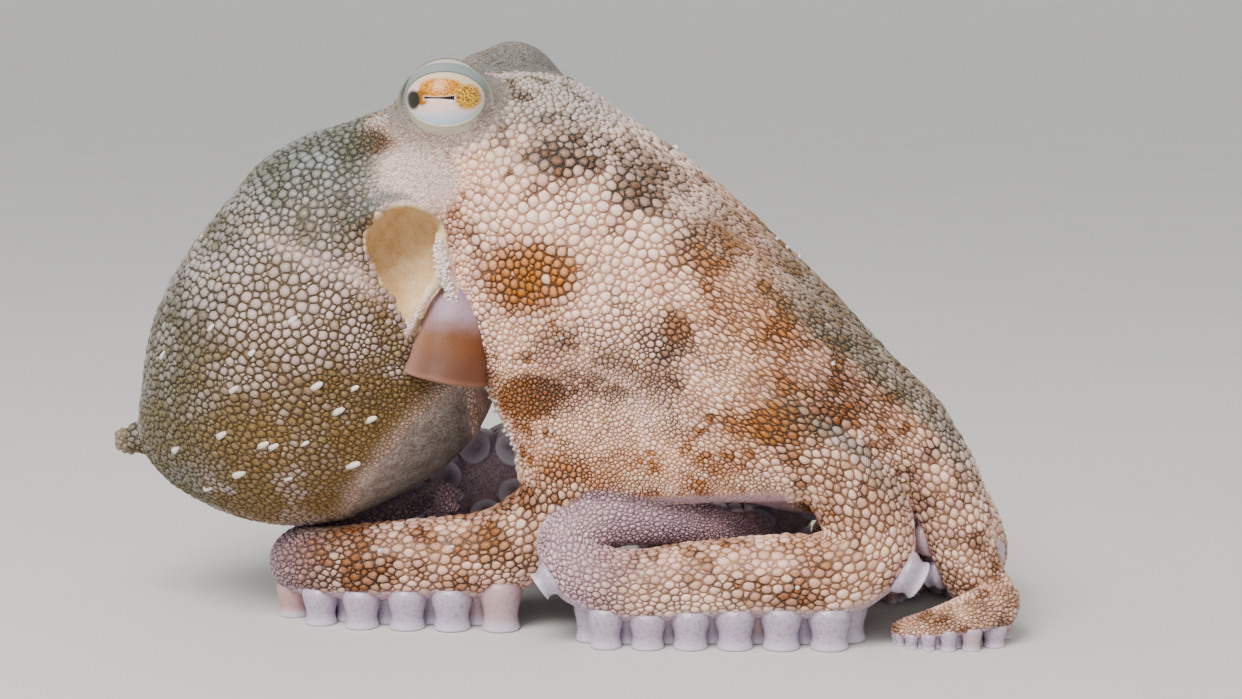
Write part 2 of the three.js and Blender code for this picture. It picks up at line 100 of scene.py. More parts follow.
# Each arm: radius at the head, taper, points in the web, coil (radius, turns, side) and its route.
# A point with no height rests on the ground on its suckers.
ARMS = {
    "r1": dict(radius=9.2, taper=2.6, web=6, coil=(8, 1, 1), route=[
        (-3.5, 6, 87), (14.5, 6, 76.5), (29, 7, 65.5), (43, 8, 53.5), (54.5, 9, 42), (63.5, 11, 31),
        (72.5, 13, 20), (77.5, 18), (75, 26), (67.5, 30)]),
    "r2": dict(radius=8.8, taper=3.2, web=6, coil=None, route=[
        (-0.5, -3, 81.7), (13.6, -5, 72.2), (27.7, -7, 62.6), (41.8, -9, 52.7), (52.5, -9, 44.7),
        (60.6, -9, 37.5), (66.5, -8.5, 29.7), (70, -8, 21.5), (72, -7, 14.8), (74.5, -6, 9.4),
        (77, -10.5, 6.6), (73.5, -15), (67, -16.5), (61, -15), (59, -10)]),
    "r3": dict(radius=8.6, taper=3.2, web=4, coil=None, route=[
        (-7.5, -4, 78.5), (5, -8, 61), (20.5, -10, 49), (36.5, -11, 39), (46.5, -11, 33.5), (52.5, -11, 25.5),
        (54.5, -12, 17.5), (48.5, -13), (38.5, -13), (24, -13), (11, -13, 10.5),
        (3, -12, 13), (0.8, -10, 17.6), (6, -7.5, 21), (15.5, -6, 21.2), (24.5, -4.5, 20), (33, 0.5, 17.2),
        (37, 9, 14), (32, 15, 11)]),
    "r4": dict(radius=8.5, taper=3.4, web=4, coil=None, route=[
        (-13.5, 1, 76), (-10.5, -1, 62), (-5.5, -2, 47), (0.3, -2, 32), (-1, -1, 21.8), (-11.8, 0, 14),
        (-24.5, 1), (-37.5, 2), (-46.5, 6), (-49.5, 13), (-45, 19, 12), (-35.7, 22, 15.8),
        (-27, 21, 19.5), (-22.6, 17, 21), (-23.5, 14.5, 18.3), (-26.2, 17, 16.5)]),
    "l1": dict(radius=9.2, taper=2.6, web=6, coil=(8, 1, 1), route=[
        (0, 16, 88.5), (18.5, 20, 75.5), (32.7, 24, 63), (47.3, 28, 49), (58.5, 32, 35.5), (66, 38, 22),
        (70, 45), (68.5, 53), (62, 57)]),
    "l2": dict(radius=9.1, taper=2.6, web=5, coil=(12, 1.1, 1), route=[
        (-1, 20, 82), (12, 30, 66), (25.5, 36, 50), (37.5, 41, 34), (43, 45.5, 20), (42, 53), (34, 59)]),
    "l3": dict(radius=8.9, taper=2.6, web=4, coil=(8, 1.2, -1), route=[
        (-3, 20, 76.5), (2.5, 28, 58.5), (8, 34, 40), (9.5, 38, 26), (4, 43), (-5, 46.5), (-16, 47.5),
        (-28, 46)]),
    "l4": dict(radius=8.7, taper=2.6, web=4, coil=(6, 0.8, -1), route=[
        (-6.5, 14, 74), (-5, 19, 57.5), (-1, 23, 42), (-1.5, 26, 32), (-6.3, 27.5, 27.7), (-15.5, 30, 23.2),
        (-27, 32, 18), (-38, 34, 13.5), (-47, 36.5)]),
}

SKIN_INSET = 0.35  # the skin lies below the solids by the height of its cobbles


# ---- Arm centre lines ----
def coil_points(route, coil):
    """Points that wind inwards from the end of a route, flat on the ground."""
    radius, turns, side = coil
    step = math.pi / 3
    before, last = route[-2], route[-1]
    to_centre = math.atan2(last[1] - before[1], last[0] - before[0]) + side * math.pi / 2
    centre_x = last[0] + math.cos(to_centre) * radius
    centre_y = last[1] + math.sin(to_centre) * radius
    count = round(turns * 2 * math.pi / step)
    points = []
    for i in range(count):
        angle = to_centre + math.pi + side * step * (i + 1)
        reach = radius * (1 - 0.75 * (i + 1) / count)
        points.append((centre_x + math.cos(angle) * reach, centre_y + math.sin(angle) * reach))
    return points


def hermite(start, end, leave, arrive, u):
    """A cubic from start to end with the slopes given at both."""
    square = (-3 * start + 3 * end - 2 * leave - arrive) * u ** 2
    return start + leave * u + square + (2 * start - 2 * end + leave + arrive) * u ** 3


def spline(points, per_span=40):
    """A centripetal Catmull-Rom curve through the points, as many small steps."""
    points = np.asarray(points, float)
    ends = np.vstack([2 * points[0] - points[1], points, 2 * points[-1] - points[-2]])
    pieces = []
    u = np.linspace(0, 1, per_span, endpoint=False)[:, None]
    for i in range(len(points) - 1):
        p0, p1, p2, p3 = ends[i:i + 4]
        d0, d1, d2 = (np.linalg.norm(b - a) ** 0.5 for a, b in ((p0, p1), (p1, p2), (p2, p3)))
        t1 = ((p1 - p0) / d0 - (p2 - p0) / (d0 + d1) + (p2 - p1) / d1) * d1
        t2 = ((p2 - p1) / d1 - (p3 - p1) / (d1 + d2) + (p3 - p2) / d2) * d1
        pieces.append(hermite(p1, p2, t1, t2, u))
    return np.vstack(pieces + [points[-1:]])


def unit(vectors):
    return vectors / np.maximum(np.linalg.norm(vectors, axis=-1, keepdims=True), 1e-9)


def arm_radius(arm, share):
    return ARM_TIP_RADIUS + (arm["radius"] - ARM_TIP_RADIUS) * (1 - share ** arm["taper"])


def lay_out_arm(arm, spacing=1.0):
    """Centre points, radii, tangents and the direction its suckers face, at even steps along an arm."""
    route = arm["route"] + (coil_points(arm["route"], arm["coil"]) if arm["coil"] else [])
    points = np.array([(p[0], p[1], p[2] if len(p) == 3 else FIRST_HEIGHT) for p in route])
    per_span = 40
    for _ in range(3):
        curve = spline(points, per_span)
        lengths = np.concatenate([[0], np.cumsum(np.linalg.norm(np.diff(curve, axis=0), axis=1))])
        shares = lengths[::per_span] / lengths[-1]
        for i, p in enumerate(route):
            if len(p) == 2:
                points[i, 2] = arm_radius(arm, shares[i]) * (1 + SUCKER_HEIGHT)
    steps = int(lengths[-1] / spacing)
    along = np.linspace(0, lengths[-1], steps + 1)
    arm["points"] = np.stack([np.interp(along, lengths, curve[:, k]) for k in range(3)], axis=1)
    arm["share"] = along / lengths[-1]
    arm["length"] = lengths[-1]
    arm["radii"] = arm_radius(arm, arm["share"])
    arm["tangents"] = unit(np.gradient(arm["points"], axis=0))
    arm["web_share"] = shares[arm["web"] - 1]
    grounded = next(i for i, p in enumerate(route) if len(p) == 2)
    arm["oral"] = sucker_directions(arm, shares[grounded])


def sucker_directions(arm, ground_share):
    """Inwards in the web, down where the arm reaches the ground, and carried along the curve from there."""
    points, tangents, share = arm["points"], arm["tangents"], arm["share"]
    first = int(np.searchsorted(share, ground_share))
    oral = np.zeros_like(points)
    oral[first] = unit(np.array([0, 0, -1.0]) - tangents[first] * -tangents[first][2])
    for order in (range(first + 1, len(points)), range(first - 1, -1, -1)):
        previous = first
        for i in order:
            carried = oral[previous] - tangents[i] * np.dot(oral[previous], tangents[i])
            oral[i] = unit(carried)
            previous = i
    core = np.array([ball[:3] for ball in CROWN_CORE], float)
    towards = spline(core, 20)
    nearest = towards[np.argmin(np.linalg.norm(points[:, None] - towards[None], axis=2), axis=1)]
    inward = nearest - points
    inward[:, 2] -= 6
    inward = unit(inward - tangents * np.sum(inward * tangents, axis=1, keepdims=True))
    start = arm["web_share"]
    mix = np.clip((share - start) / max(ground_share - start, 1e-3), 0, 1)[:, None]
    blended = unit(inward * (1 - mix) + oral * mix + 1e-6)
    return unit(blended - tangents * np.sum(blended * tangents, axis=1, keepdims=True))


for body_arm in ARMS.values():
    lay_out_arm(body_arm)


# ---- The body's field on a grid: negative inside ----
GRID_STEP = 0.92
GRID_LOW = np.array([-86.0, -28.0, -1.5])
GRID_HIGH = np.array([87.0, 72.0, 110.0])
FAR = 14.0
LEAST_STEEPNESS = 0.2

# Widths over which the masses flow into each other.
BODY_BLEND = 6
EYE_MOUND_BLEND = 5
HEAD_BLEND = 8
HOLLOW_BLEND = 3
HANGING_BLEND = 0.8
LIP_BLEND = 2
OPENING_BLEND = 1.5
THROAT_BLEND = 1.0
RIDGE_BLEND = 2.5
EYE_PIT_BLEND = 0.6
ARM_BLEND = 0.9
NECK_LOW = 68
NECK_REACH = 10


class BodyGrid:
    """Distances to the skin at the points of an even grid, built up mass by mass."""

    def __init__(self):
        self.shape = tuple(np.ceil((GRID_HIGH - GRID_LOW) / GRID_STEP).astype(int))
        self.axes = [GRID_LOW[k] + GRID_STEP * np.arange(self.shape[k], dtype=np.float32) for k in range(3)]
        self.values = np.full(self.shape, FAR, np.float32)

    def window(self, low, high):
        """Slices of the grid that hold a box."""
        first = np.clip(np.floor((np.asarray(low) - GRID_LOW) / GRID_STEP).astype(int), 0, self.shape)
        last = np.clip(np.ceil((np.asarray(high) - GRID_LOW) / GRID_STEP).astype(int) + 1, 0, self.shape)
        return tuple(slice(a, b) for a, b in zip(first, last))

    def chain(self, balls, stretch_y=1.0, middle_y=0.0):
        """Distance to balls joined by cones, as an array over the whole grid."""
        balls = np.asarray(balls, np.float32)
        if len(balls) == 1:
            balls = np.vstack([balls, balls + np.array([0.01, 0, 0, 0], np.float32)])
        return self.cones(balls[:-1], balls[1:], stretch_y, middle_y)

    def cones(self, starts, ends, stretch_y=1.0, middle_y=0.0):
        """Distance to the nearest of many round cones."""
        result = np.full(self.shape, FAR, np.float32)
        pad = 9.0
        for a, b in zip(starts, ends):
            reach = max(a[3], b[3]) + pad
            window = self.window(np.minimum(a[:3], b[:3]) - reach, np.maximum(a[:3], b[:3]) + reach)
            x = self.axes[0][window[0]][:, None, None]
            y = self.axes[1][window[1]][None, :, None]
            y = middle_y + (y - middle_y) / stretch_y
            z = self.axes[2][window[2]][None, None, :]
            span = b[:3] - a[:3]
            share = (x - a[0]) * span[0] + (y - a[1]) * span[1] + (z - a[2]) * span[2]
            share = np.clip(share / float(span @ span), 0, 1)
            away = (x - a[0] - share * span[0]) ** 2
            away = away + (y - a[1] - share * span[1]) ** 2
            away = away + (z - a[2] - share * span[2]) ** 2
            away = np.sqrt(away) - (a[3] + (b[3] - a[3]) * share)
            result[window] = np.minimum(result[window], away)
        return result * stretch_y

    def eye_pit(self, centre, gaze):
        """Rough distance to the oval pit that an eye sits in."""
        centre = np.array(centre) + np.array(gaze) * EYE_RADIUS
        x = self.axes[0][:, None, None] - centre[0]
        y = self.axes[1][None, :, None] - centre[1]
        z = self.axes[2][None, None, :] - centre[2]
        depth = x * gaze[0] + y * gaze[1]
        across = x * -gaze[1] + y * gaze[0]
        away = np.sqrt((across / EYE_PIT[0]) ** 2 + (depth / EYE_PIT[1]) ** 2 + (z / EYE_PIT[2]) ** 2)
        return ((away - 1) * EYE_PIT[1]).astype(np.float32)

    def add(self, other, blend):
        """Joins another field on, with the crease filled over the blend's width."""
        self.values = smooth_min(self.values, other, blend)

    def cut(self, other, blend):
        """Takes another field's inside away."""
        self.values = -smooth_min(-self.values, other, blend)

    def sample(self, points):
        """Field values between the grid's points."""
        place = (points - GRID_LOW) / GRID_STEP
        base = np.clip(np.floor(place).astype(int), 0, np.array(self.shape) - 2)
        part = place - base
        total = np.zeros(len(points))
        for corner in np.ndindex(2, 2, 2):
            weight = np.prod(np.where(corner, part, 1 - part), axis=1)
            index = base + corner
            total += weight * self.values[index[:, 0], index[:, 1], index[:, 2]]
        return total

    def drop(self, points):
        """Points moved along the slope onto the skin."""
        slope = self.slope(points)
        steepness = np.maximum(np.sum(slope ** 2, axis=1, keepdims=True), LEAST_STEEPNESS)
        return points - (self.sample(points)[:, None] + SKIN_INSET) * slope / steepness

    def slope(self, points, step=0.5):
        """The field's gradient."""
        columns = []
        for k in range(3):
            offset = np.zeros(3)
            offset[k] = step
            columns.append((self.sample(points + offset) - self.sample(points - offset)) / (2 * step))
        return np.stack(columns, axis=1)


def smooth_min(a, b, blend):
    h = np.maximum(blend - np.abs(a - b), 0) / blend
    return np.minimum(a, b) - h * h * blend / 4


def smooth_chain(balls, per_span=6):
    """A chain with its places and radii carried smoothly through its balls."""
    balls = np.asarray(balls, float)
    ends = np.vstack([2 * balls[0] - balls[1], balls, 2 * balls[-1] - balls[-2]])
    u = np.linspace(0, 1, per_span, endpoint=False)[:, None]
    pieces = []
    for p0, p1, p2, p3 in zip(ends, ends[1:], ends[2:], ends[3:]):
        pieces.append(hermite(p1, p2, (p2 - p0) / 2, (p3 - p1) / 2, u))
    return np.vstack(pieces + [balls[-1:]])


def web_balls(arm):
    """Even samples of an arm's part in the web."""
    shares = np.linspace(0, arm["web_share"], WEB_STEPS + 1)
    columns = [np.interp(shares, arm["share"], arm["points"][:, k]) for k in range(3)]
    return np.column_stack(columns + [arm_radius(arm, shares)]).astype(np.float32)


def arm_balls(arm, low_share, high_share):
    chosen = (arm["share"] >= low_share) & (arm["share"] <= high_share)
    balls = np.column_stack([arm["points"], arm["radii"]])[chosen]
    return balls[::3] if len(balls) > 8 else balls


def body_grid():
    """The whole skin: head, mantle, web and arms."""
    grid = BodyGrid()
    bag = smooth_min(
        grid.chain(smooth_chain(MANTLE), MANTLE_FLATTEN, MANTLE_MIDDLE_Y),
        grid.chain(MANTLE_BELLY, MANTLE_FLATTEN, MANTLE_MIDDLE_Y),
        BODY_BLEND,
    )
    mantle = smooth_min(bag, grid.chain(NECK), BODY_BLEND)
    head = grid.chain(HEAD)
    for mound in EYE_MOUNDS:
        head = smooth_min(head, grid.chain(mound), EYE_MOUND_BLEND)
    crown = smooth_min(grid.chain(CROWN_CORE), grid.chain(WEB_EDGE), BODY_BLEND)
    for arm in ARMS.values():
        crown = smooth_min(crown, grid.chain(web_balls(arm)), BODY_BLEND)
    thin = np.array([1, 1, 1, FOLD_THICKNESS], np.float32)
    for first, second in zip(WEB_NEIGHBOURS, WEB_NEIGHBOURS[1:]):
        fold = grid.cones(web_balls(ARMS[first]) * thin, web_balls(ARMS[second]) * thin)
        crown = smooth_min(crown, fold, BODY_BLEND)
    web = smooth_min(head, crown, HEAD_BLEND)
    web = -smooth_min(-web, grid.chain([WEB_HOLLOW]), HOLLOW_BLEND)
    # The mantle hangs free of the web below the neck.
    neck_share = np.clip((grid.axes[2][None, None, :] - NECK_LOW) / NECK_REACH, 0, 1)
    joined = smooth_min(web, mantle, BODY_BLEND)
    parted = smooth_min(web, mantle, HANGING_BLEND)
    grid.values = (parted + (joined - parted) * neck_share).astype(np.float32)
    grid.add(grid.chain(MANTLE_LIP), LIP_BLEND)
    grid.cut(grid.chain(MANTLE_OPENING), OPENING_BLEND)
    grid.add(grid.chain(THROAT_BAND), THROAT_BLEND)
    grid.add(grid.chain(RIDGE), RIDGE_BLEND)
    for side, gaze in GAZES.items():
        grid.cut(grid.eye_pit(EYES[side], gaze), EYE_PIT_BLEND)
    for arm in ARMS.values():
        grid.add(grid.chain(arm_balls(arm, arm["web_share"] - 0.02, 1)), ARM_BLEND)
    return grid


def skin_mesh(grid):
    """Vertices in millimetres and quads of the skin, settled on the field."""
    volume = openvdb.FloatGrid(FAR)
    volume.copyFromArray(grid.values)
    points, quads = volume.convertToQuads(isovalue=-SKIN_INSET)
    vertices = points.astype(float) * GRID_STEP + GRID_LOW
    return grid.drop(grid.drop(vertices)), quads.astype(int)


def linked_object(name, data):
    """An object of the scene that holds the data."""
    holder = bpy.data.objects.new(name, data)
    bpy.context.scene.collection.objects.link(holder)
    return holder


def new_piece(name, vertices_mm, faces, smooth=True):
    """A piece with its vertices given in millimetres of the animal's own frame."""
    mesh = bpy.data.meshes.new(name)
    mesh.from_pydata((np.asarray(vertices_mm) + CENTRE_SHIFT) * MM, [], faces)
    mesh.update()
    if smooth:
        mesh.shade_smooth()
    return linked_object(name, mesh)


def ring_faces(rows, spokes):
    """Quads between the rows of a round surface."""
    faces = []
    for row in range(rows - 1):
        for k in range(spokes):
            a, b = row * spokes + k, row * spokes + (k + 1) % spokes
            faces.append((a, b, b + spokes, a + spokes))
    return faces


def set_vectors(mesh, name, values):
    """Stores three numbers for each point of a mesh."""
    attribute = mesh.attributes.new(name, "FLOAT_VECTOR", "POINT")
    attribute.data.foreach_set("vector", np.ascontiguousarray(values, np.float32).ravel())


# ---- Noise and simple curves ----
def smoothstep(low, high, values):
    t = np.clip((values - low) / (high - low), 0, 1)
    return t * t * (3 - 2 * t)


def lattice_noise(points, size, seed):
    """Smooth noise from 0 to 1 whose lumps are about the size given, in mm."""
    cells = 24
    lattice = np.random.default_rng(seed).random((cells, cells, cells))
    place = points / size + 1000
    base = np.floor(place).astype(int)
    part = place - base
    part = part * part * (3 - 2 * part)
    total = np.zeros(len(points))
    for corner in np.ndindex(2, 2, 2):
        weight = np.prod(np.where(corner, part, 1 - part), axis=1)
        index = (base + corner) % cells
        total += weight * lattice[index[:, 0], index[:, 1], index[:, 2]]
    return total


def lumpy_noise(points, size, seed):
    """Noise with finer lumps over the coarse ones."""
    coarse = lattice_noise(points, size, seed)
    fine = lattice_noise(points, size * 0.45, seed + 1)
    finest = lattice_noise(points, size * 0.2, seed + 2)
    return 0.55 * coarse + 0.3 * fine + 0.15 * finest


def distance_to_chain(points, balls):
    """Distance from points to balls joined by cones."""
    result = np.full(len(points), 1e3)
    balls = np.asarray(balls, float)
    if len(balls) == 1:
        balls = np.vstack([balls, balls])
    for a, b in zip(balls[:-1], balls[1:]):
        span = b[:3] - a[:3]
        share = np.clip((points - a[:3]) @ span / max(span @ span, 1e-9), 0, 1)
        away = np.linalg.norm(points - a[:3] - share[:, None] * span, axis=1)
        result = np.minimum(result, away - (a[3] + (b[3] - a[3]) * share))
    return result


# ---- What lies where on the skin ----
# Patches of colour on the right side: x, z, half width, half height, strength.
BROWN_PATCHES = [
    (-5.8, 65.5, 9.5, 7, 1.0), (1.5, 86.5, 8, 5, 0.85), (13.5, 81.5, 7, 5.5, 0.8),
    (17.5, 55.5, 6.5, 5.5, 1.0), (25, 70.5, 8, 5.5, 0.8), (-5.5, 44, 8, 4.5, 1.0),
    (38, 40.5, 9, 5, 0.85), (0.5, 31, 7, 5, 0.7), (47, 42, 6, 5, 0.7), (27, 33, 7, 3.5, 0.6),
    (45, 14, 5, 6, 0.6), (-34.5, 86.5, 6, 4.5, 1.0), (-46, 76, 7, 6, 0.6), (-50.5, 63, 6, 6, 0.7),
    (-70, 51, 7, 11, 0.9), (-61, 44, 7, 7, 0.6), (-72, 36, 9, 7, 0.95), (-43, 51, 8, 6, 0.5),
    (-43, 11, 9, 9, 0.85), (-20, 14, 7, 4, 0.5), (62, 26, 5, 10, 0.5), (36, 60, 8, 6, 0.6),
    (-20, 46, 5, 6, 0.4), (-2, 53, 4, 5, 0.5), (52, 53, 6, 5, 0.6), (-48, 40, 16, 9, 0.62),
    (-57, 31, 14, 6, 0.7),
]
WHITE_PATCHES = [
    (0.5, 77.5, 9, 4, 1.0), (-43.5, 55, 4.5, 3.5, 0.8), (-38, 66, 5, 7, 0.6), (9, 59, 9, 6, 0.7),
    (13, 72, 7, 4, 0.7), (6, 38, 8, 6, 0.7), (-58, 60, 4.5, 7, 0.6), (-10, 11, 6, 3, 0.5),
    (22, 8, 9, 3.5, 0.7), (-52, 70, 5, 5, 0.6), (14, 41, 9, 5, 0.8), (-36, 55, 4, 5, 0.7),
    (-52, 56, 4, 4, 0.6), (26, 52, 7, 5, 0.5),
]
MANTLE_CENTRE = np.array([-42.0, 13.0, 50.0])
FAR_MOUND = np.array([-10.0, 22.0, 97.0])
ARM_NAMES = list(ARMS)
TOWARDS_HEAD = unit(np.array([0.97, 0.1, -0.25]))
BELLY_FACING = unit(np.array([0.72, -0.1, -0.69]))
NECK_PLACES = (np.array([-25.5, -4, 82]), np.array([-21, 25, 83]))
NECK_STRETCH = np.array([1.2, 1.4, 1])
ARM_CHUNK = 20000  # points compared with the arms at a time


def patches(points, rows):
    """How strongly a list of soft patches covers points, on the right side of the animal."""
    total = np.zeros(len(points))
    for x, z, half_width, half_height, strength in rows:
        away = ((points[:, 0] - x) / half_width) ** 2 + ((points[:, 2] - z) / half_height) ** 2
        total = np.maximum(total, strength * np.exp(-away ** 2))
    return total


class Surroundings:
    """The arm, region and markings at points of the skin."""

    def __init__(self, points, normals):
        self.points = points
        self.normals = normals
        self.find_arms()
        self.find_regions()
        self.find_markings()
        self.find_tones()

    def find_arms(self):
        """Nearest place on any arm's centre line."""
        arms = list(ARMS.values())
        samples, tangents, oral = (
            np.vstack([arm[kind][::2] for arm in arms]) for kind in ("points", "tangents", "oral")
        )
        radii = np.concatenate([arm["radii"][::2] for arm in arms])
        share = np.concatenate([arm["share"][::2] for arm in arms])
        counts = [len(arm["points"][::2]) for arm in arms]
        owner = np.repeat(np.arange(len(arms)), counts)
        web_share = np.repeat([arm["web_share"] for arm in arms], counts)
        nearest = np.empty(len(self.points), int)
        squares = np.sum(samples ** 2, axis=1)
        for start in range(0, len(self.points), ARM_CHUNK):
            part = self.points[start:start + ARM_CHUNK]
            away = np.sum(part ** 2, axis=1)[:, None] + squares - 2 * part @ samples.T
            nearest[start:start + ARM_CHUNK] = np.argmin(np.sqrt(np.maximum(away, 0)) - radii, axis=1)
        self.arm = owner[nearest]
        self.share = share[nearest]
        self.arm_radius = radii[nearest]
        self.free = smoothstep(-0.03, 0.05, share[nearest] - web_share[nearest])
        self.tangent = tangents[nearest]
        away = self.points - samples[nearest]
        self.arm_gap = np.linalg.norm(away, axis=1) - radii[nearest]
        self.oral = np.sum(unit(away) * oral[nearest], axis=1)
        self.round = np.arctan2(np.sum(away * np.cross(tangents[nearest], oral[nearest]), axis=1),
                                np.sum(away * oral[nearest], axis=1))

    def find_regions(self):
        """Masks from 0 to 1 of the mantle, belly, bare skin, undersides and mantle opening."""
        p = self.points
        stretched = p.copy()
        stretched[:, 1] = MANTLE_MIDDLE_Y + (p[:, 1] - MANTLE_MIDDLE_Y) / MANTLE_FLATTEN
        bag = np.minimum(distance_to_chain(stretched, MANTLE), distance_to_chain(stretched, MANTLE_BELLY))
        self.mantle = smoothstep(4.5, 1.5, bag) * smoothstep(-14, -19, p[:, 0])
        self.tangent = np.where((self.mantle > 0.5)[:, None], TOWARDS_HEAD, self.tangent)
        on_arm = self.free * smoothstep(2.5, 1.0, self.arm_gap)
        self.free = on_arm
        outward = unit(p - MANTLE_CENTRE)
        # The belly mask also sets where the skin colour paints the shade beneath the mantle.
        self.belly = self.mantle * smoothstep(0.5, 0.93, outward @ BELLY_FACING)
        self.opening = smoothstep(1.2, 0.5, distance_to_chain(p, MANTLE_OPENING))
        self.lip = smoothstep(1.9, 1.1, distance_to_chain(p, MANTLE_OPENING)) * (1 - self.opening)
        hollow = np.linalg.norm(p - np.array(WEB_HOLLOW[:3]), axis=1) - WEB_HOLLOW[3]
        beneath = smoothstep(-0.6, -0.9, self.normals[:, 2]) * smoothstep(45, 38, p[:, 2])
        beneath = beneath * (1 - self.mantle)
        roof = smoothstep(1.8, 0.7, np.abs(hollow)) * smoothstep(15, 20, p[:, 2])
        self.under = np.maximum(roof, beneath) * (1 - on_arm) * (1 - self.mantle)
        self.under = np.maximum(self.under, on_arm * smoothstep(0.5, 0.8, self.oral))
        self.mound_gap = np.minimum(*[distance_to_chain(p, mound) for mound in EYE_MOUNDS])
        self.eye = smoothstep(3.6, 1.4, self.mound_gap) * smoothstep(83, 90, p[:, 2])
        neck = np.minimum(*[np.linalg.norm((p - place) / NECK_STRETCH, axis=1) for place in NECK_PLACES])
        self.neck = smoothstep(10, 3.5, neck)
        edge, heights = np.array(VENTRAL_EDGE)[::-1].T
        beyond = p[:, 0] - np.interp(p[:, 2], heights, edge)
        self.throat = smoothstep(0.6, -0.8, beyond) * smoothstep(74, 71, p[:, 2])
        self.throat = self.throat * (1 - self.mantle) * smoothstep(28, 34, p[:, 2])
        band = np.minimum(distance_to_chain(p, THROAT_BAND), distance_to_chain(p, RIDGE))
        self.white_flesh = smoothstep(0.6, 0.0, band)
        self.throat = np.maximum(self.throat, self.white_flesh)
        bare = [self.belly, self.opening, self.lip, self.under, self.eye, self.neck, self.throat]
        self.cobbled = 1 - np.maximum.reduce(bare)

    def find_markings(self):
        """Brown and white mottle, and warmth. The brown is partly painted shade: it is deepened on the low
        web, on the right flank and at the far end of arm r4.
        """
        p = self.points
        height = p[:, 2]
        near = smoothstep(16, 4, p[:, 1])
        mottle = lumpy_noise(p, 9, 11)
        fine = lumpy_noise(p, 3.2, 21)
        speckle = lattice_noise(p, 1.5, 51)
        low_web = smoothstep(56, 42, height) * (1 - self.mantle) * (1 - self.free)
        brown = np.clip(patches(p, BROWN_PATCHES) * (0.55 + 1.1 * fine), 0, 1) * near
        brown = np.maximum(brown, smoothstep(0.5, 0.64, mottle) * (0.95 - 0.35 * near))
        brown = np.maximum(brown, smoothstep(0.55, 0.68, fine) * 0.75)
        # Dark specks, thicker on the low web, partly as painted shade there.
        brown = np.maximum(brown, smoothstep(0.55, 0.8, speckle) * (0.3 + 0.55 * low_web))
        bag = 0.02 + 0.38 * smoothstep(58, 40, height) + 0.9 * (fine - 0.45)
        bag = bag + 0.6 * smoothstep(0.45, 0.55, mottle)
        brown = np.maximum(brown, self.mantle * bag)
        # Painted shade: brown deepened over the low web, on top of its own mottle.
        brown = np.maximum(brown, low_web * (0.3 + 1.1 * (fine - 0.45)))
        # Painted shade: brown deepened over the right flank, on top of its own mottle.
        right = smoothstep(14, 40, p[:, 0]) * (1 - self.free) * (0.58 + 1.1 * (fine - 0.42))
        # Arm r4 is browner, and darker towards its far left end as painted shade.
        r4_brown_and_dusk_shade = (self.arm == ARM_NAMES.index("r4")) * (0.25 + 0.5 * smoothstep(-30, -43, p[:, 0]))
        brown = np.maximum.reduce([brown, right, self.free * (0.36 + r4_brown_and_dusk_shade + 1.2 * (fine - 0.45))])
        white = patches(p, WHITE_PATCHES) * near
        white = np.maximum(white, smoothstep(0.58, 0.7, lumpy_noise(p, 7, 31)) * 0.6)
        pale_bag = smoothstep(0.48, 0.58, lumpy_noise(p, 6, 61)) * smoothstep(36, 54, height)
        pale_bag = pale_bag * smoothstep(90, 76, height)
        white = np.maximum(white, self.mantle * pale_bag * 0.8)
        self.brown = np.clip(brown * (1 - 0.45 * white), 0, 1)
        self.white = np.clip(white * (1 - 0.5 * self.brown), 0, 1)
        warm = 0.25 + 1.2 * (lattice_noise(p, 16, 41) - 0.5) + 0.25 * smoothstep(70, 10, height)
        self.warm = np.clip(warm, 0, 1) * (1 - 0.5 * self.free) * smoothstep(86, 77, height)
        self.warm = np.maximum(self.warm, self.mantle * smoothstep(52, 38, height) * 0.85)
        orange = np.exp(-(((p[:, 0] + 4) / 12) ** 2 + ((height - 66) / 10) ** 2) ** 2) * near
        self.warm = np.maximum(self.warm, orange)

    def find_tones(self):
        """Grey-green on skin that faces up and on the mantle's upper and far left parts, where it is partly
        painted shade, and purple beneath.
        """
        p = self.points
        height = p[:, 2]
        skyward = smoothstep(0.1, 0.75, self.normals[:, 2]) * smoothstep(50, 75, height)
        skyward = skyward * (0.45 + 0.55 * self.mantle)
        far = smoothstep(8, 20, p[:, 1])
        green = np.clip(skyward * 0.9 + 0.35 * far * self.mantle, 0, 1)
        # Partly painted shade: olive over the mantle's far left end and its upper part.
        green = np.maximum(green, self.mantle * smoothstep(-50, -74, p[:, 0]) * 0.7)
        bag_top = self.mantle * smoothstep(62, 84, height) * smoothstep(-30, -40, p[:, 0])
        green = np.maximum(green, bag_top * 0.8)
        ridge_side = smoothstep(0.25, 0.7, self.normals[:, 2] + 0.6 * self.normals[:, 0])
        ridge_side = ridge_side * smoothstep(25, 45, p[:, 0]) * smoothstep(20, 40, height)
        green = np.maximum(green, ridge_side * 0.8)
        crown = smoothstep(17, 9, np.linalg.norm((p - FAR_MOUND) * (1, 1, 1.3), axis=1))
        crown = np.maximum(crown, 0.75 * smoothstep(84, 94, height))
        self.green = np.maximum.reduce([green, crown, self.eye * 0.45])
        inner = np.isin(self.arm, [ARM_NAMES.index("r3"), ARM_NAMES.index("r4")]) & (self.share > 0.62)
        purple = self.under * 0.9 + 0.85 * self.free * inner * smoothstep(0.62, 0.72, self.share)
        far_arm = np.isin(self.arm, [ARM_NAMES.index("l4"), ARM_NAMES.index("l3")])
        purple = np.maximum(np.clip(purple, 0, 1), self.free * far_arm * 0.8)
        self.purple = purple * (1 - self.white_flesh)

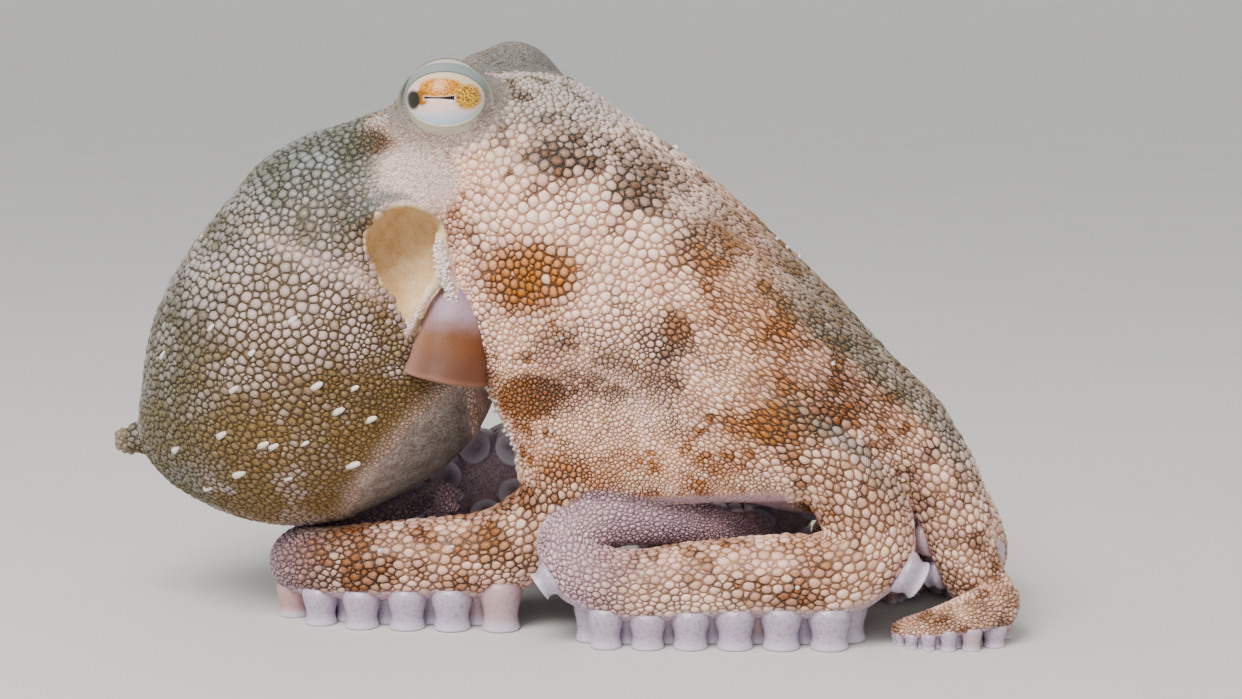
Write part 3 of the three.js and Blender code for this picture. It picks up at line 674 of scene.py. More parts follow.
    def store(self, mesh, rim, tint, rows=slice(None), bare=1.0):
        """Writes the markings to a mesh as attributes, with plain skin as strong as bare says."""
        ochre = np.maximum(self.opening, 0.85 * self.lip)
        pale = np.maximum(self.neck, self.white_flesh * bare)
        set_vectors(mesh, "marks", np.column_stack([self.brown, self.white, self.warm])[rows])
        set_vectors(mesh, "zones", np.column_stack([self.purple, self.green, ochre])[rows])
        set_vectors(mesh, "cell", np.column_stack([rim, tint, self.cobbled[rows]]))
        set_vectors(mesh, "places", np.column_stack([self.mantle, self.belly * bare, pale])[rows])


# ---- Shader node groups ----
class GroupMaker:
    """Adds nodes to a tree and links them."""

    def __init__(self, tree):
        self.tree = tree

    def node(self, kind, **settings):
        node = self.tree.nodes.new(kind)
        inputs = settings.pop("inputs", {})
        for key, value in settings.items():
            setattr(node, key, value)
        for key, value in inputs.items():
            self.feed(node.inputs[key], value)
        return node

    def feed(self, socket, value):
        if isinstance(value, bpy.types.NodeSocket):
            self.tree.links.new(value, socket)
        else:
            socket.default_value = value

    def math(self, operation, a, b=0.0, clamp=False):
        node = self.node("ShaderNodeMath", operation=operation, use_clamp=clamp, inputs={0: a, 1: b})
        return node.outputs[0]

    def times(self, a, b, clamp=False):
        return self.math("MULTIPLY", a, b, clamp)

    def plus(self, a, b):
        return self.math("ADD", a, b)

    def minus(self, a, b, clamp=False):
        return self.math("SUBTRACT", a, b, clamp)

    def attribute(self, name):
        return self.node("ShaderNodeAttribute", attribute_name=name).outputs["Vector"]

    def split(self, vector):
        return self.node("ShaderNodeSeparateXYZ", inputs={0: vector}).outputs

    def relief(self, surface, height, strength, depth):
        """Fine bumps on a surface."""
        bump = self.node("ShaderNodeBump", inputs={"Strength": strength, "Distance": depth})
        self.feed(bump.inputs["Height"], height)
        self.feed(surface.inputs["Normal"], bump.outputs["Normal"])

    def mix(self, share, a, b, blend="MIX"):
        node = self.node("ShaderNodeMix", data_type="RGBA", blend_type=blend)
        self.feed(node.inputs[0], share)
        self.feed(node.inputs[6], a)
        self.feed(node.inputs[7], b)
        return node.outputs[2]

    def steps(self, value, low, high):
        node = self.node("ShaderNodeMapRange", interpolation_type="SMOOTHSTEP")
        for key, number in zip(("Value", "From Min", "From Max"), (value, low, high)):
            self.feed(node.inputs[key], number)
        return node.outputs[0]

    def noise(self, position, scale, detail=2.0, rough=0.5):
        node = self.node("ShaderNodeTexNoise", inputs={"Scale": scale, "Detail": detail, "Roughness": rough})
        self.feed(node.inputs["Vector"], position)
        return node.outputs["Fac"]

    def creases(self, position):
        """Fine lines that run mostly one way, as in skin that folds; the skin colour darkens along them as
        painted shade in the folds.
        """
        turned = self.node("ShaderNodeVectorRotate", rotation_type="Y_AXIS", inputs={"Angle": 0.55})
        self.feed(turned.inputs["Vector"], position)
        drawn_out = self.node("ShaderNodeVectorMath", operation="MULTIPLY", inputs={1: (0.32, 0.6, 1.0)})
        self.feed(drawn_out.inputs[0], turned.outputs["Vector"])
        bend = self.node("ShaderNodeTexNoise", inputs={"Scale": 260.0, "Detail": 2.0})
        self.feed(bend.inputs["Vector"], position)
        sway = (0.0016, 0.0016, 0.0016)
        shifted = self.node("ShaderNodeVectorMath", operation="MULTIPLY_ADD", inputs={1: sway})
        self.feed(shifted.inputs[0], bend.outputs["Color"])
        self.feed(shifted.inputs[2], drawn_out.outputs[0])
        lines = self.node("ShaderNodeTexVoronoi", feature="DISTANCE_TO_EDGE", inputs={"Scale": 2300.0})
        self.feed(lines.inputs["Vector"], shifted.outputs[0])
        return self.steps(lines.outputs["Distance"], 0.2, 0.0)


def new_material(name):
    """A material, the maker of its nodes and its surface."""
    material = bpy.data.materials.new(name)
    material.use_nodes = True
    return material, GroupMaker(material.node_tree), material.node_tree.nodes["Principled BSDF"]


def shade(red, green, blue):
    """A colour given in screen values from 0 to 255, as the linear values that nodes take."""
    def linear(value):
        value /= 255
        return value / 12.92 if value <= 0.04045 else ((value + 0.055) / 1.055) ** 2.4
    return (linear(red), linear(green), linear(blue), 1)


def skin_colour_group():
    """Colour, roughness and relief shared by the skin and its cobbles."""
    tree = bpy.data.node_groups.new("skin_colour", "ShaderNodeTree")
    for name in ("Position", "Marks", "Zones", "Cell", "Places"):
        tree.interface.new_socket(name, in_out="INPUT", socket_type="NodeSocketVector")
    tree.interface.new_socket("Color", in_out="OUTPUT", socket_type="NodeSocketColor")
    tree.interface.new_socket("Roughness", in_out="OUTPUT", socket_type="NodeSocketFloat")
    tree.interface.new_socket("Height", in_out="OUTPUT", socket_type="NodeSocketFloat")
    make = GroupMaker(tree)
    source = make.node("NodeGroupInput").outputs
    brown, white, warm = make.split(source["Marks"])
    purple, green, opening = make.split(source["Zones"])
    rim, tint, cobbled = make.split(source["Cell"])
    mantle, belly, smooth_pale = make.split(source["Places"])
    position = source["Position"]
    speck = make.noise(position, 2600, 2, 0.6)
    blotch = make.noise(position, 420, 3, 0.6)
    hue = make.steps(make.noise(position, 700, 1, 0.5), 0.4, 0.6)
    cell_pale = make.mix(mantle, make.mix(hue, shade(250, 212, 182), shade(246, 204, 198)),
                         make.mix(hue, shade(142, 122, 88), shade(144, 118, 122)))
    cell_brown = make.mix(mantle, make.mix(warm, shade(120, 70, 40), shade(190, 110, 16)),
                          make.mix(warm, shade(88, 64, 30), shade(132, 100, 46)))
    share = make.plus(make.times(brown, 1.1), make.times(tint, 0.5))
    share = make.minus(share, 0.3, clamp=True)
    body = make.mix(share, cell_pale, cell_brown)
    bright = make.mix(hue, shade(255, 228, 204), shade(255, 222, 218))
    bright = make.mix(mantle, bright, shade(214, 192, 188))
    body = make.mix(make.times(white, 0.85), body, bright)
    net_pale = make.mix(mantle, shade(186, 138, 108), shade(74, 52, 24))
    net_brown = make.mix(mantle, make.mix(warm, shade(46, 24, 12), shade(92, 50, 0)),
                         make.mix(warm, shade(36, 24, 8), shade(92, 66, 26)))
    net = make.mix(make.times(brown, 1.3, clamp=True), net_pale, net_brown)
    # Cells grade from a pale middle to dark rims: partly the skin's own dark net lines, partly painted shade
    # on the slopes of the domed cells.
    low = make.minus(0.46, make.times(make.math("MAXIMUM", brown, mantle), 0.45))
    high = make.minus(1.0, make.times(brown, 0.3))
    edge = make.times(make.steps(rim, low, high), cobbled)
    colour = make.mix(edge, body, net)
    # Plain, finely creased skin where there are no cobbles.
    flesh = make.mix(make.steps(blotch, 0.35, 0.7), shade(220, 200, 194), shade(192, 166, 156))
    # Painted shade: the belly's flesh is a darker grey for the shade beneath the mantle.
    belly_shade_grey = make.mix(make.steps(blotch, 0.3, 0.7), shade(130, 128, 124), shade(98, 96, 94))
    flesh = make.mix(belly, flesh, belly_shade_grey)
    flesh = make.mix(smooth_pale, flesh, shade(228, 208, 202))
    crease = make.creases(position)
    bare = make.steps(cobbled, 0.8, 0.2)
    # Painted shade: the flesh darkens along the crease lines, for the shade in the folds.
    crease_shaded_flesh = make.mix(1.0, flesh, shade(206, 178, 168), "MULTIPLY")
    flesh = make.mix(make.times(crease, make.minus(1.0, opening)), flesh, crease_shaded_flesh)
    colour = make.mix(bare, colour, flesh)
    lilac = make.mix(make.steps(speck, 0.4, 0.65), shade(206, 182, 202), shade(150, 122, 144))
    # Painted shade: lilac cells darken towards their rims, along with the dark net lines.
    lilac = make.mix(make.times(edge, 0.7), lilac, shade(88, 62, 78))
    colour = make.mix(make.times(purple, 0.85), colour, lilac)
    olive_cell = make.mix(share, shade(126, 142, 148), shade(86, 88, 62))
    olive_cell = make.mix(bare, olive_cell, make.mix(blotch, shade(46, 70, 68), shade(72, 94, 92)))
    # Painted shade: olive cells darken towards their rims and along the creases, along with the dark net
    # lines.
    olive = make.mix(make.math("MAXIMUM", edge, make.times(crease, bare)), olive_cell, shade(44, 52, 46))
    # The olive of the green zone is partly painted shade on the mantle's upper and far left parts.
    colour = make.mix(make.times(green, 0.85), colour, olive)
    ochre = make.mix(make.steps(blotch, 0.3, 0.75), shade(234, 206, 162), shade(212, 176, 124))
    colour = make.mix(opening, colour, ochre)
    dark = make.times(make.steps(speck, 0.5, 0.72), 0.25)
    colour = make.mix(dark, colour, make.mix(1.0, colour, shade(150, 116, 92), "MULTIPLY"))
    light = make.times(make.steps(speck, 0.48, 0.3), 0.14)
    colour = make.mix(light, colour, shade(250, 240, 232))
    roughness = make.plus(make.times(blotch, 0.22), make.times(edge, 0.12))
    roughness = make.plus(roughness, 0.34)
    wrinkle = make.noise(position, 900, 4, 0.65)
    height = make.plus(make.times(wrinkle, 0.7), make.times(speck, 0.3))
    height = make.minus(height, make.times(make.times(crease, bare), 0.8))
    sink = make.node("NodeGroupOutput")
    make.feed(sink.inputs["Color"], colour)
    make.feed(sink.inputs["Roughness"], roughness)
    make.feed(sink.inputs["Height"], height)
    return tree


def skin_material(name, depth):
    """Living skin: the shared markings on a soft, damp surface."""
    material, make, surface = new_material(name)
    group = make.node("ShaderNodeGroup", node_tree=bpy.data.node_groups["skin_colour"])
    make.feed(group.inputs["Position"], make.node("ShaderNodeTexCoord").outputs["Object"])
    for socket in ("Marks", "Zones", "Cell", "Places"):
        make.feed(group.inputs[socket], make.attribute(socket.lower()))
    make.feed(surface.inputs["Base Color"], group.outputs["Color"])
    make.feed(surface.inputs["Roughness"], group.outputs["Roughness"])
    make.relief(surface, group.outputs["Height"], 0.35, depth)
    surface.inputs["Subsurface Weight"].default_value = 0.04
    surface.inputs["Subsurface Radius"].default_value = (0.001, 0.0007, 0.0006)
    surface.inputs["Subsurface Scale"].default_value = 1.0
    surface.inputs["Specular IOR Level"].default_value = 0.26
    surface.inputs["Coat Weight"].default_value = 0.04
    surface.inputs["Coat Roughness"].default_value = 0.3
    return material


# ---- Cobbles ----
def cobble_radius(near, rng):
    """The half width of a cobble at each point, in mm."""
    x, y, z = near.points.T
    size = np.interp(z, [22, 48, 58, 66, 78, 88, 98], [0.29, 0.33, 0.5, 0.62, 0.72, 0.72, 0.42])
    right = smoothstep(12, 30, x)
    size = size * (1 - right) + 0.31 * right
    size = np.minimum(size, 0.34 + 0.045 * np.clip(x - np.interp(z, [30, 50, 72], [-8, -16, -22]), 0, 20))
    bag = np.interp(z, [22, 36, 48, 60, 90], [0.42, 0.46, 0.54, 0.7, 0.66])
    bag = bag * (1 - 0.28 * smoothstep(-46, -32, x))
    size = size * (1 - near.mantle) + bag * near.mantle
    size = size * (1 - 0.4 * near.mantle * near.belly) * (1 - 0.45 * near.neck)
    on_arm = 0.5 * np.clip(near.arm_radius / 7.0, 0.5, 1.05)
    size = size * (1 - near.free) + on_arm * near.free
    by_eye = 0.4 * smoothstep(4, 1, near.mound_gap) * smoothstep(80, 86, z)
    size = 0.94 * size * (1 - 0.25 * near.purple) * (1 - by_eye)
    size = size * (1 + 0.45 * smoothstep(8, 20, y))
    return size * np.clip(np.exp(rng.normal(0, 0.36, len(z))), 0.52, 1.7)


def cobble_stretch(near):
    """How much longer than wide the cobbles are, along their arm or the mantle."""
    x, _, z = near.points.T
    flank = smoothstep(12, 34, x) * smoothstep(26, 44, z) * (1 - near.free) * (1 - near.mantle)
    return 1 + 1.3 * flank + 0.35 * near.free + 0.3 * near.mantle * smoothstep(56, 44, z)


def scatter(vertices, quads, near, rng):
    """Random points over the cobbled skin, denser where the cobbles are small."""
    corners = vertices[quads]
    crossed = np.cross(corners[:, 2] - corners[:, 0], corners[:, 3] - corners[:, 1])
    area = 0.5 * np.linalg.norm(crossed, axis=1)
    wanted = near.cobbled[quads].mean(axis=1) > 0.4
    typical = cobble_radius(near, np.random.default_rng(5))[quads].mean(axis=1)
    weight = np.where(wanted, area / (typical ** 2 * cobble_stretch(near)[quads].mean(axis=1)), 0)
    count = int(weight.sum() * 1.7)
    chosen = rng.choice(len(quads), count, p=weight / weight.sum())
    u, v = rng.random((2, count, 1))
    square = corners[chosen]
    near_side = square[:, 0] * (1 - u) + square[:, 1] * u
    far_side = square[:, 3] * (1 - u) + square[:, 2] * u
    return near_side * (1 - v) + far_side * v


def thin_out(points, radii, tangents, stretch, spread):
    """Keeps points in turn where no kept one is too close."""
    cell = float(radii.max() * 2 * spread)
    buckets = {}
    keep = []
    places = points.tolist()
    sizes = radii.tolist()
    along = tangents.tolist()
    squeeze = (1 - 1 / stretch ** 2).tolist()
    steps = [(i - 1, j - 1, k - 1) for i, j, k in np.ndindex(3, 3, 3)]

    def crowded(i, home):
        """Whether a kept point in the cells round home is too close to point i."""
        x, y, z = places[i]
        tx, ty, tz = along[i]
        for step in steps:
            for j in buckets.get((home[0] + step[0], home[1] + step[1], home[2] + step[2]), ()):
                ox, oy, oz = places[j]
                dx, dy, dz = ox - x, oy - y, oz - z
                run = dx * tx + dy * ty + dz * tz
                gap = dx * dx + dy * dy + dz * dz - run * run * squeeze[i]
                least = (sizes[i] + sizes[j]) * spread
                if gap < least * least:
                    return True
        return False

    for i, place in enumerate(places):
        home = tuple(int(value // cell) for value in place)
        if not crowded(i, home):
            keep.append(i)
            buckets.setdefault(home, []).append(i)
    return np.array(keep)


def neighbours(points, count):
    tree = KDTree(len(points))
    for i, point in enumerate(points.tolist()):
        tree.insert(point, i)
    tree.balance()
    found = (tree.find_n(point, count + 1)[1:] for point in points.tolist())
    return np.array([[near[1] for near in row] for row in found])


class Cobbles:
    """Rounded polygons that fill the skin between their neighbours."""
    SIDES = 10
    NEIGHBOURS = 13
    RINGS = ((1.03, -0.2, 1.0), (0.82, 0.66, 0.3), (0.0, 1.0, 0.0))  # reach, rise and rim value

    def __init__(self, grid, vertices, quads, near, settings):
        rng = np.random.default_rng(settings.seed)
        points = scatter(vertices, quads, near, rng)
        normals = unit(grid.slope(points))
        around = Surroundings(points, normals)
        radii = cobble_radius(around, rng)
        stretch = cobble_stretch(around)
        order = np.argsort(-radii + rng.random(len(radii)) * 0.55)
        points, radii, stretch = points[order], radii[order], stretch[order]
        keep = thin_out(points, radii, around.tangent[order], stretch, 0.8)
        self.points, self.radii, self.stretch = points[keep], radii[keep], stretch[keep]
        self.grid = grid
        self.gap = settings.groove / MM
        self.settle()

    def settle(self):
        """Pushes crowded cobbles apart along the skin, then reads what lies round each."""
        for _ in range(2):
            near = neighbours(self.points, 8)
            away = self.points[:, None] - self.points[near]
            gap = np.linalg.norm(away, axis=2)
            wanted = (self.radii[:, None] + self.radii[near]) * 0.97
            push = np.clip(wanted - gap, 0, None) / np.maximum(gap, 1e-6)
            self.points = self.points + 0.35 * np.sum(away * push[..., None], axis=1)
            self.points = self.grid.drop(self.points)
        self.normals = unit(self.grid.slope(self.points))
        self.near = Surroundings(self.points, self.normals)
        good = self.near.cobbled > 0.15
        self.points, self.radii, self.stretch = self.points[good], self.radii[good], self.stretch[good]
        self.normals = self.normals[good]
        self.near = Surroundings(self.points, self.normals)

    def build(self, height, seed):
        """Vertices and each vertex's rim value."""
        rng = np.random.default_rng(seed)
        count = len(self.points)
        near = neighbours(self.points, self.NEIGHBOURS)
        normal = self.normals
        along = unit(self.near.tangent - normal * np.sum(self.near.tangent * normal, axis=1, keepdims=True))
        across = np.cross(normal, along)
        away = self.points[near] - self.points[:, None]
        x = np.einsum("ikc,ic->ik", away, along) / self.stretch[:, None]
        y = np.einsum("ikc,ic->ik", away, across)
        facing = np.einsum("ikc,ic->ik", normal[near], normal)
        gap = np.maximum(np.hypot(x, y), 1e-6)
        half = (gap ** 2 + self.radii[:, None] ** 2 - self.radii[near] ** 2) / (2 * gap) - self.gap / 2
        half = np.where(facing > 0.2, np.maximum(half, 0.08), 1e3)
        angles = np.linspace(0, 2 * np.pi, self.SIDES, endpoint=False)
        reach = (x[..., None] * np.cos(angles) + y[..., None] * np.sin(angles)) / (gap * half)[..., None]
        limit = 1.8 * self.radii[:, None] + 0.05
        power = 11
        total = np.sum(np.maximum(reach, 0) ** power, axis=1) + limit ** -power
        radius = total ** (-1 / power)
        radius = radius * (0.85 + 0.15 * smoothstep(0.15, 0.6, self.near.cobbled))[:, None]
        ring_x = radius * np.cos(angles) * self.stretch[:, None]
        ring_y = radius * np.sin(angles)
        rise = height * np.clip(0.3 + 0.9 * self.radii, 0, 1.1) * smoothstep(0.0, 0.7, self.near.cobbled)
        rise = rise * (0.8 + 0.5 * rng.random(count))
        rings = []
        for out, up, rim in self.RINGS:
            sides = self.SIDES if out else 1
            place = self.points[:, None] + (ring_x * out)[..., None] * along[:, None] \
                + (ring_y * out)[..., None] * across[:, None]
            place = place[:, :sides]
            flat = place.reshape(-1, 3)
            each = np.repeat(normal, sides, axis=0)
            settled = flat - (self.grid.sample(flat) + SKIN_INSET)[:, None] * each
            lift = np.repeat(rise, sides) * up if up > 0 else np.full(len(flat), up)
            settled = settled + lift[:, None] * each
            rings.append((settled.reshape(count, sides, 3), np.full((count, sides), rim)))
        vertices = np.concatenate([ring for ring, _ in rings], axis=1)
        rims = np.concatenate([rim for _, rim in rings], axis=1)
        return vertices, rims

    def faces(self):
        """Faces of one cobble: its side and its top."""
        n = self.SIDES
        quads = [(k, (k + 1) % n, (k + 1) % n + n, k + n) for k in range(n)]
        fan = [(n + k, n + (k + 1) % n, 2 * n) for k in range(n)]
        return quads, fan


def skin_unwrap(near):
    """Each point's place on a flat plan of the skin: mantle, head with web, and a strip for each arm."""
    p = near.points
    mantle_round = np.arctan2(p[:, 1] - MANTLE_CENTRE[1], p[:, 2] - MANTLE_CENTRE[2]) / (2 * np.pi) + 0.5
    mantle_along = np.clip((p[:, 0] + 86) / 76, 0, 1)
    web_round = np.arctan2(p[:, 1] - 12, p[:, 0] + 0.55 * p[:, 2] - 44) / (2 * np.pi) + 0.5
    web_along = np.clip((p[:, 2] - 12) / 96, 0, 1)
    arm_round = near.round / (2 * np.pi) + 0.5
    plan = np.column_stack([0.01 + 0.48 * web_round, 0.52 + 0.46 * web_along])
    mantle_plan = np.column_stack([0.51 + 0.48 * mantle_round, 0.52 + 0.46 * mantle_along])
    arm_plan = np.column_stack([(near.arm + 0.06 + 0.88 * arm_round) / 8, 0.01 + 0.48 * near.share])
    plan = np.where((near.mantle > 0.5)[:, None], mantle_plan, plan)
    return np.where((near.free > 0.5)[:, None], arm_plan, plan)


COBBLES_PER_PIECE = 6000
PATCH_RADIUS = 0.0015  # of a cobble on the plan of the skin


def cobble_pieces(cobbles, height):
    """Joined meshes of cobbles, each piece a share of those over the whole animal."""
    vertices, rims = cobbles.build(height, 7)
    count, per_cobble = rims.shape
    quads, fan = cobbles.faces()
    plan = skin_unwrap(cobbles.near)
    small = np.clip((0.95 - cobbles.radii) / 0.6, 0, 1)
    tint = 0.6 * np.random.default_rng(3).random(count) + 0.4 * small
    total = max(1, math.ceil(count / COBBLES_PER_PIECE))
    angles = np.linspace(0, 2 * np.pi, cobbles.SIDES, endpoint=False)
    ring = np.column_stack([np.cos(angles), np.sin(angles)])
    disc = np.concatenate([ring, ring * 0.7, [(0, 0)]])
    pieces = []
    for k in range(total):
        chosen = np.arange(k, count, total)
        base = np.arange(len(chosen))[:, None, None] * per_cobble
        piece_quads = (base + np.array(quads)).reshape(-1, 4)
        piece_fan = (base + np.array(fan)).reshape(-1, 3)
        mesh = bpy.data.meshes.new(f"cobbles_{k + 1}")
        places = (vertices[chosen].reshape(-1, 3) + CENTRE_SHIFT) * MM
        mesh.vertices.add(len(places))
        mesh.vertices.foreach_set("co", places.astype(np.float32).ravel())
        loops = np.concatenate([piece_quads.ravel(), piece_fan.ravel()])
        mesh.loops.add(len(loops))
        mesh.loops.foreach_set("vertex_index", loops.astype(np.int32))
        quad_starts = np.arange(len(piece_quads)) * 4
        fan_starts = len(piece_quads) * 4 + np.arange(len(piece_fan)) * 3
        starts = np.concatenate([quad_starts, fan_starts])
        mesh.polygons.add(len(starts))
        mesh.polygons.foreach_set("loop_start", starts.astype(np.int32))
        mesh.update(calc_edges=True)
        mesh.validate()
        mesh.shade_smooth()
        repeat = np.repeat(chosen, per_cobble)
        cobbles.near.store(mesh, rims[chosen].ravel(), np.repeat(tint[chosen], per_cobble), repeat, 0.0)
        uv = mesh.uv_layers.new(name="OFBake")
        patch = plan[repeat] + PATCH_RADIUS * np.tile(disc, (len(chosen), 1))
        uv.data.foreach_set("uv", patch[loops].astype(np.float32).ravel())
        pieces.append(linked_object(f"cobbles_{k + 1}", mesh))
    return pieces


# ---- Small things placed by Geometry Nodes ----
def placing_tree():
    """A node tree that sets one small shape on every point, turned and sized by the point's own values."""
    tree = bpy.data.node_groups.new("place_on_points", "GeometryNodeTree")
    for name, kind in (("Geometry", "NodeSocketGeometry"), ("Shape", "NodeSocketObject"),
                       ("Material", "NodeSocketMaterial"), ("Size Variation", "NodeSocketFloat"),
                       ("Seed", "NodeSocketInt")):
        tree.interface.new_socket(name, in_out="INPUT", socket_type=kind)
    tree.interface.new_socket("Geometry", in_out="OUTPUT", socket_type="NodeSocketGeometry")
    make = GroupMaker(tree)
    source = make.node("NodeGroupInput").outputs
    points = make.node("GeometryNodeMeshToPoints", inputs={"Mesh": source["Geometry"]})
    shape = make.node("GeometryNodeObjectInfo", inputs={"Object": source["Shape"]})
    turn = make.node("GeometryNodeInputNamedAttribute", data_type="FLOAT_VECTOR", inputs={"Name": "turn"})
    size = make.node("GeometryNodeInputNamedAttribute", data_type="FLOAT_VECTOR", inputs={"Name": "size"})
    low = make.minus(1.0, source["Size Variation"])
    high = make.plus(1.0, source["Size Variation"])
    chance = make.node("FunctionNodeRandomValue", data_type="FLOAT")
    make.feed(chance.inputs[2], low)
    make.feed(chance.inputs[3], high)
    make.feed(chance.inputs["Seed"], source["Seed"])
    scaled = make.node("ShaderNodeVectorMath", operation="SCALE", inputs={0: size.outputs["Attribute"]})
    make.feed(scaled.inputs["Scale"], chance.outputs[1])
    rotation = make.node("FunctionNodeEulerToRotation", inputs={"Euler": turn.outputs["Attribute"]})
    placed = make.node("GeometryNodeInstanceOnPoints", inputs={
        "Points": points.outputs["Points"], "Instance": shape.outputs["Geometry"],
        "Rotation": rotation.outputs["Rotation"], "Scale": scaled.outputs["Vector"]})
    real = make.node("GeometryNodeRealizeInstances", inputs={"Geometry": placed.outputs["Instances"]})
    dressed = make.node("GeometryNodeSetMaterial", inputs={
        "Geometry": real.outputs["Geometry"], "Material": source["Material"]})
    sink = make.node("NodeGroupOutput")
    make.feed(sink.inputs["Geometry"], dressed.outputs["Geometry"])
    return tree


def place_on_points(name, shape, points, directions, sizes, tint, material, variation, seed):
    """A plain mesh of one shape on many points: its Z axis along each direction, sized in mm."""
    carrier = new_piece(f"{name}_points", points, [], smooth=False)
    ups = [Vector(direction).to_track_quat("Z", "Y").to_euler() for direction in directions]
    set_vectors(carrier.data, "turn", np.array([tuple(euler) for euler in ups]))
    set_vectors(carrier.data, "size", np.asarray(sizes) * MM)
    set_vectors(carrier.data, "tint", tint)
    tree = bpy.data.node_groups.get("place_on_points") or placing_tree()
    modifier = carrier.modifiers.new("place", "NODES")
    modifier.node_group = tree
    sockets = {item.name: item.identifier for item in tree.interface.items_tree if item.in_out == "INPUT"}
    modifier[sockets["Shape"]] = shape
    modifier[sockets["Material"]] = material
    modifier[sockets["Size Variation"]] = variation
    modifier[sockets["Seed"]] = seed
    graph = bpy.context.evaluated_depsgraph_get()
    mesh = bpy.data.meshes.new_from_object(carrier.evaluated_get(graph))
    mesh.name = name
    mesh.shade_smooth()
    bpy.data.objects.remove(carrier, do_unlink=True)
    return linked_object(name, mesh)


def turned_shape(name, profile, sides):
    """A round shape from rows of radius, height and rim value, open below and closed at its last row."""
    vertices, rims = [], []
    for radius, height, rim in profile:
        for k in range(sides):
            angle = 2 * math.pi * k / sides
            vertices.append((radius * math.cos(angle), radius * math.sin(angle), height))
            rims.append(rim)
    faces = ring_faces(len(profile), sides)
    faces.append(tuple((len(profile) - 1) * sides + k for k in range(sides)))
    faces.append(tuple(reversed(range(sides))))
    mesh = bpy.data.meshes.new(name)
    mesh.from_pydata(vertices, [], faces)
    mesh.shade_smooth()
    attribute = mesh.attributes.new("rim", "FLOAT", "POINT")
    attribute.data.foreach_set("value", np.array(rims, np.float32))
    return bpy.data.objects.new(name, mesh)


def march(grid, starts, directions, limit, step=0.25):
    """How far along its direction each start leaves the skin, or NaN."""
    reach = np.full(len(starts), np.nan)
    for distance in np.arange(0, limit, step):
        outside = grid.sample(starts + directions * distance) > -SKIN_INSET
        reach = np.where(np.isnan(reach) & outside & (distance > 0.5), distance, reach)
    return reach


def surface_in_front(grid, spots, from_y=-34.0):
    """Points and normals of the skin first met when looking along +Y at places given as x, z."""
    spots = np.asarray(spots, float)
    y = np.full(len(spots), from_y)
    for _ in range(60):
        place = np.column_stack([spots[:, 0], y, spots[:, 1]])
        y = y + np.clip(grid.sample(place) + SKIN_INSET, -0.5, 2.0) * 0.8
    place = np.column_stack([spots[:, 0], y, spots[:, 1]])
    return place, unit(grid.slope(place))


# ---- Suckers ----
SUCKER_PROFILE = [
    (1.24, -0.45, 0.0), (1.22, -0.12, 0.05), (1.14, 0.14, 0.1), (1.0, 0.38, 0.2), (0.95, 0.6, 0.4),
    (1.0, 0.8, 0.7), (1.07, 0.92, 0.9), (1.05, 0.98, 1.0), (0.96, 1.0, 1.0), (0.74, 0.95, 0.8),
    (0.48, 0.8, 0.6), (0.34, 0.74, 0.4), (0.22, 0.55, 0.1), (0.1, 0.45, 0.0),
]


def sucker_places(grid, arm, settings):
    """Roots, directions and sizes of one arm's two rows."""
    length, radii, share = arm["length"], arm["radii"], arm["share"]
    along = max(0.0, (arm["web_share"] - 0.25)) * length
    row = 1
    places = []
    while along < length * 0.985:
        here = along / length
        at = [np.interp(here, share, arm["points"][:, k]) for k in range(3)]
        tangent = unit(np.array([np.interp(here, share, arm["tangents"][:, k]) for k in range(3)]))
        oral = unit(np.array([np.interp(here, share, arm["oral"][:, k]) for k in range(3)]))
        radius = arm_radius(arm, here)
        across = np.cross(tangent, oral)
        places.append((at, oral, across * row, radius))
        along += radius * settings.sucker_spacing
        row = -row
    centre = np.array([place[0] for place in places])
    oral = np.array([place[1] for place in places])
    across = np.array([place[2] for place in places])
    radius = np.array([place[3] for place in places])
    grounded = (oral[:, 2] < -0.75) & (centre[:, 2] < radius * 1.75 + 2.5)
    splay = np.where(grounded, 0.0, 0.3)[:, None]
    direction = unit(oral + across * splay)
    start = centre + across * (np.where(grounded, 0.34, 0.46) * radius)[:, None]
    direction = np.where(grounded[:, None], np.array([0, 0, -1.0]), direction)
    reach = march(grid, start, direction, 14)
    good = ~np.isnan(reach) & (reach < radius * 1.7)
    root = start + direction * np.nan_to_num(reach)[:, None]
    height = np.where(grounded, root[:, 2] - 0.02, 0.36 * radius)
    blocked = grid.sample(root + direction * (height * 0.8)[:, None]) < 0
    good &= ~blocked & (root[:, 2] > 0.2) & (root[:, 2] + direction[:, 2] * height > -0.02)
    wide = np.where(grounded, 0.41, 0.42) * radius
    sizes = np.column_stack([wide, wide, height])
    return root[good], direction[good], sizes[good]


def sucker_material():
    """Damp, milky, lilac flesh with a paler rim."""
    material, make, surface = new_material("sucker_skin")
    rim = make.node("ShaderNodeAttribute", attribute_name="rim").outputs["Fac"]
    tint = make.split(make.attribute("tint"))
    position = make.node("ShaderNodeTexCoord").outputs["Object"]
    mottle = make.noise(position, 1500, 3, 0.6)
    body = make.mix(tint[0], shade(184, 174, 198), shade(196, 152, 138))
    body = make.mix(make.steps(mottle, 0.45, 0.7), body, shade(162, 142, 160))
    colour = make.mix(make.steps(rim, 0.3, 0.95), body, shade(206, 196, 214))
    make.feed(surface.inputs["Base Color"], colour)
    roughness = make.plus(make.times(mottle, 0.25), 0.22)
    make.feed(surface.inputs["Roughness"], roughness)
    make.relief(surface, make.noise(position, 2200, 3, 0.6), 0.3, 0.0002)
    surface.inputs["Subsurface Weight"].default_value = 0.35
    surface.inputs["Subsurface Radius"].default_value = (0.003, 0.002, 0.002)
    surface.inputs["Coat Weight"].default_value = 0.3
    surface.inputs["Coat Roughness"].default_value = 0.2
    return material


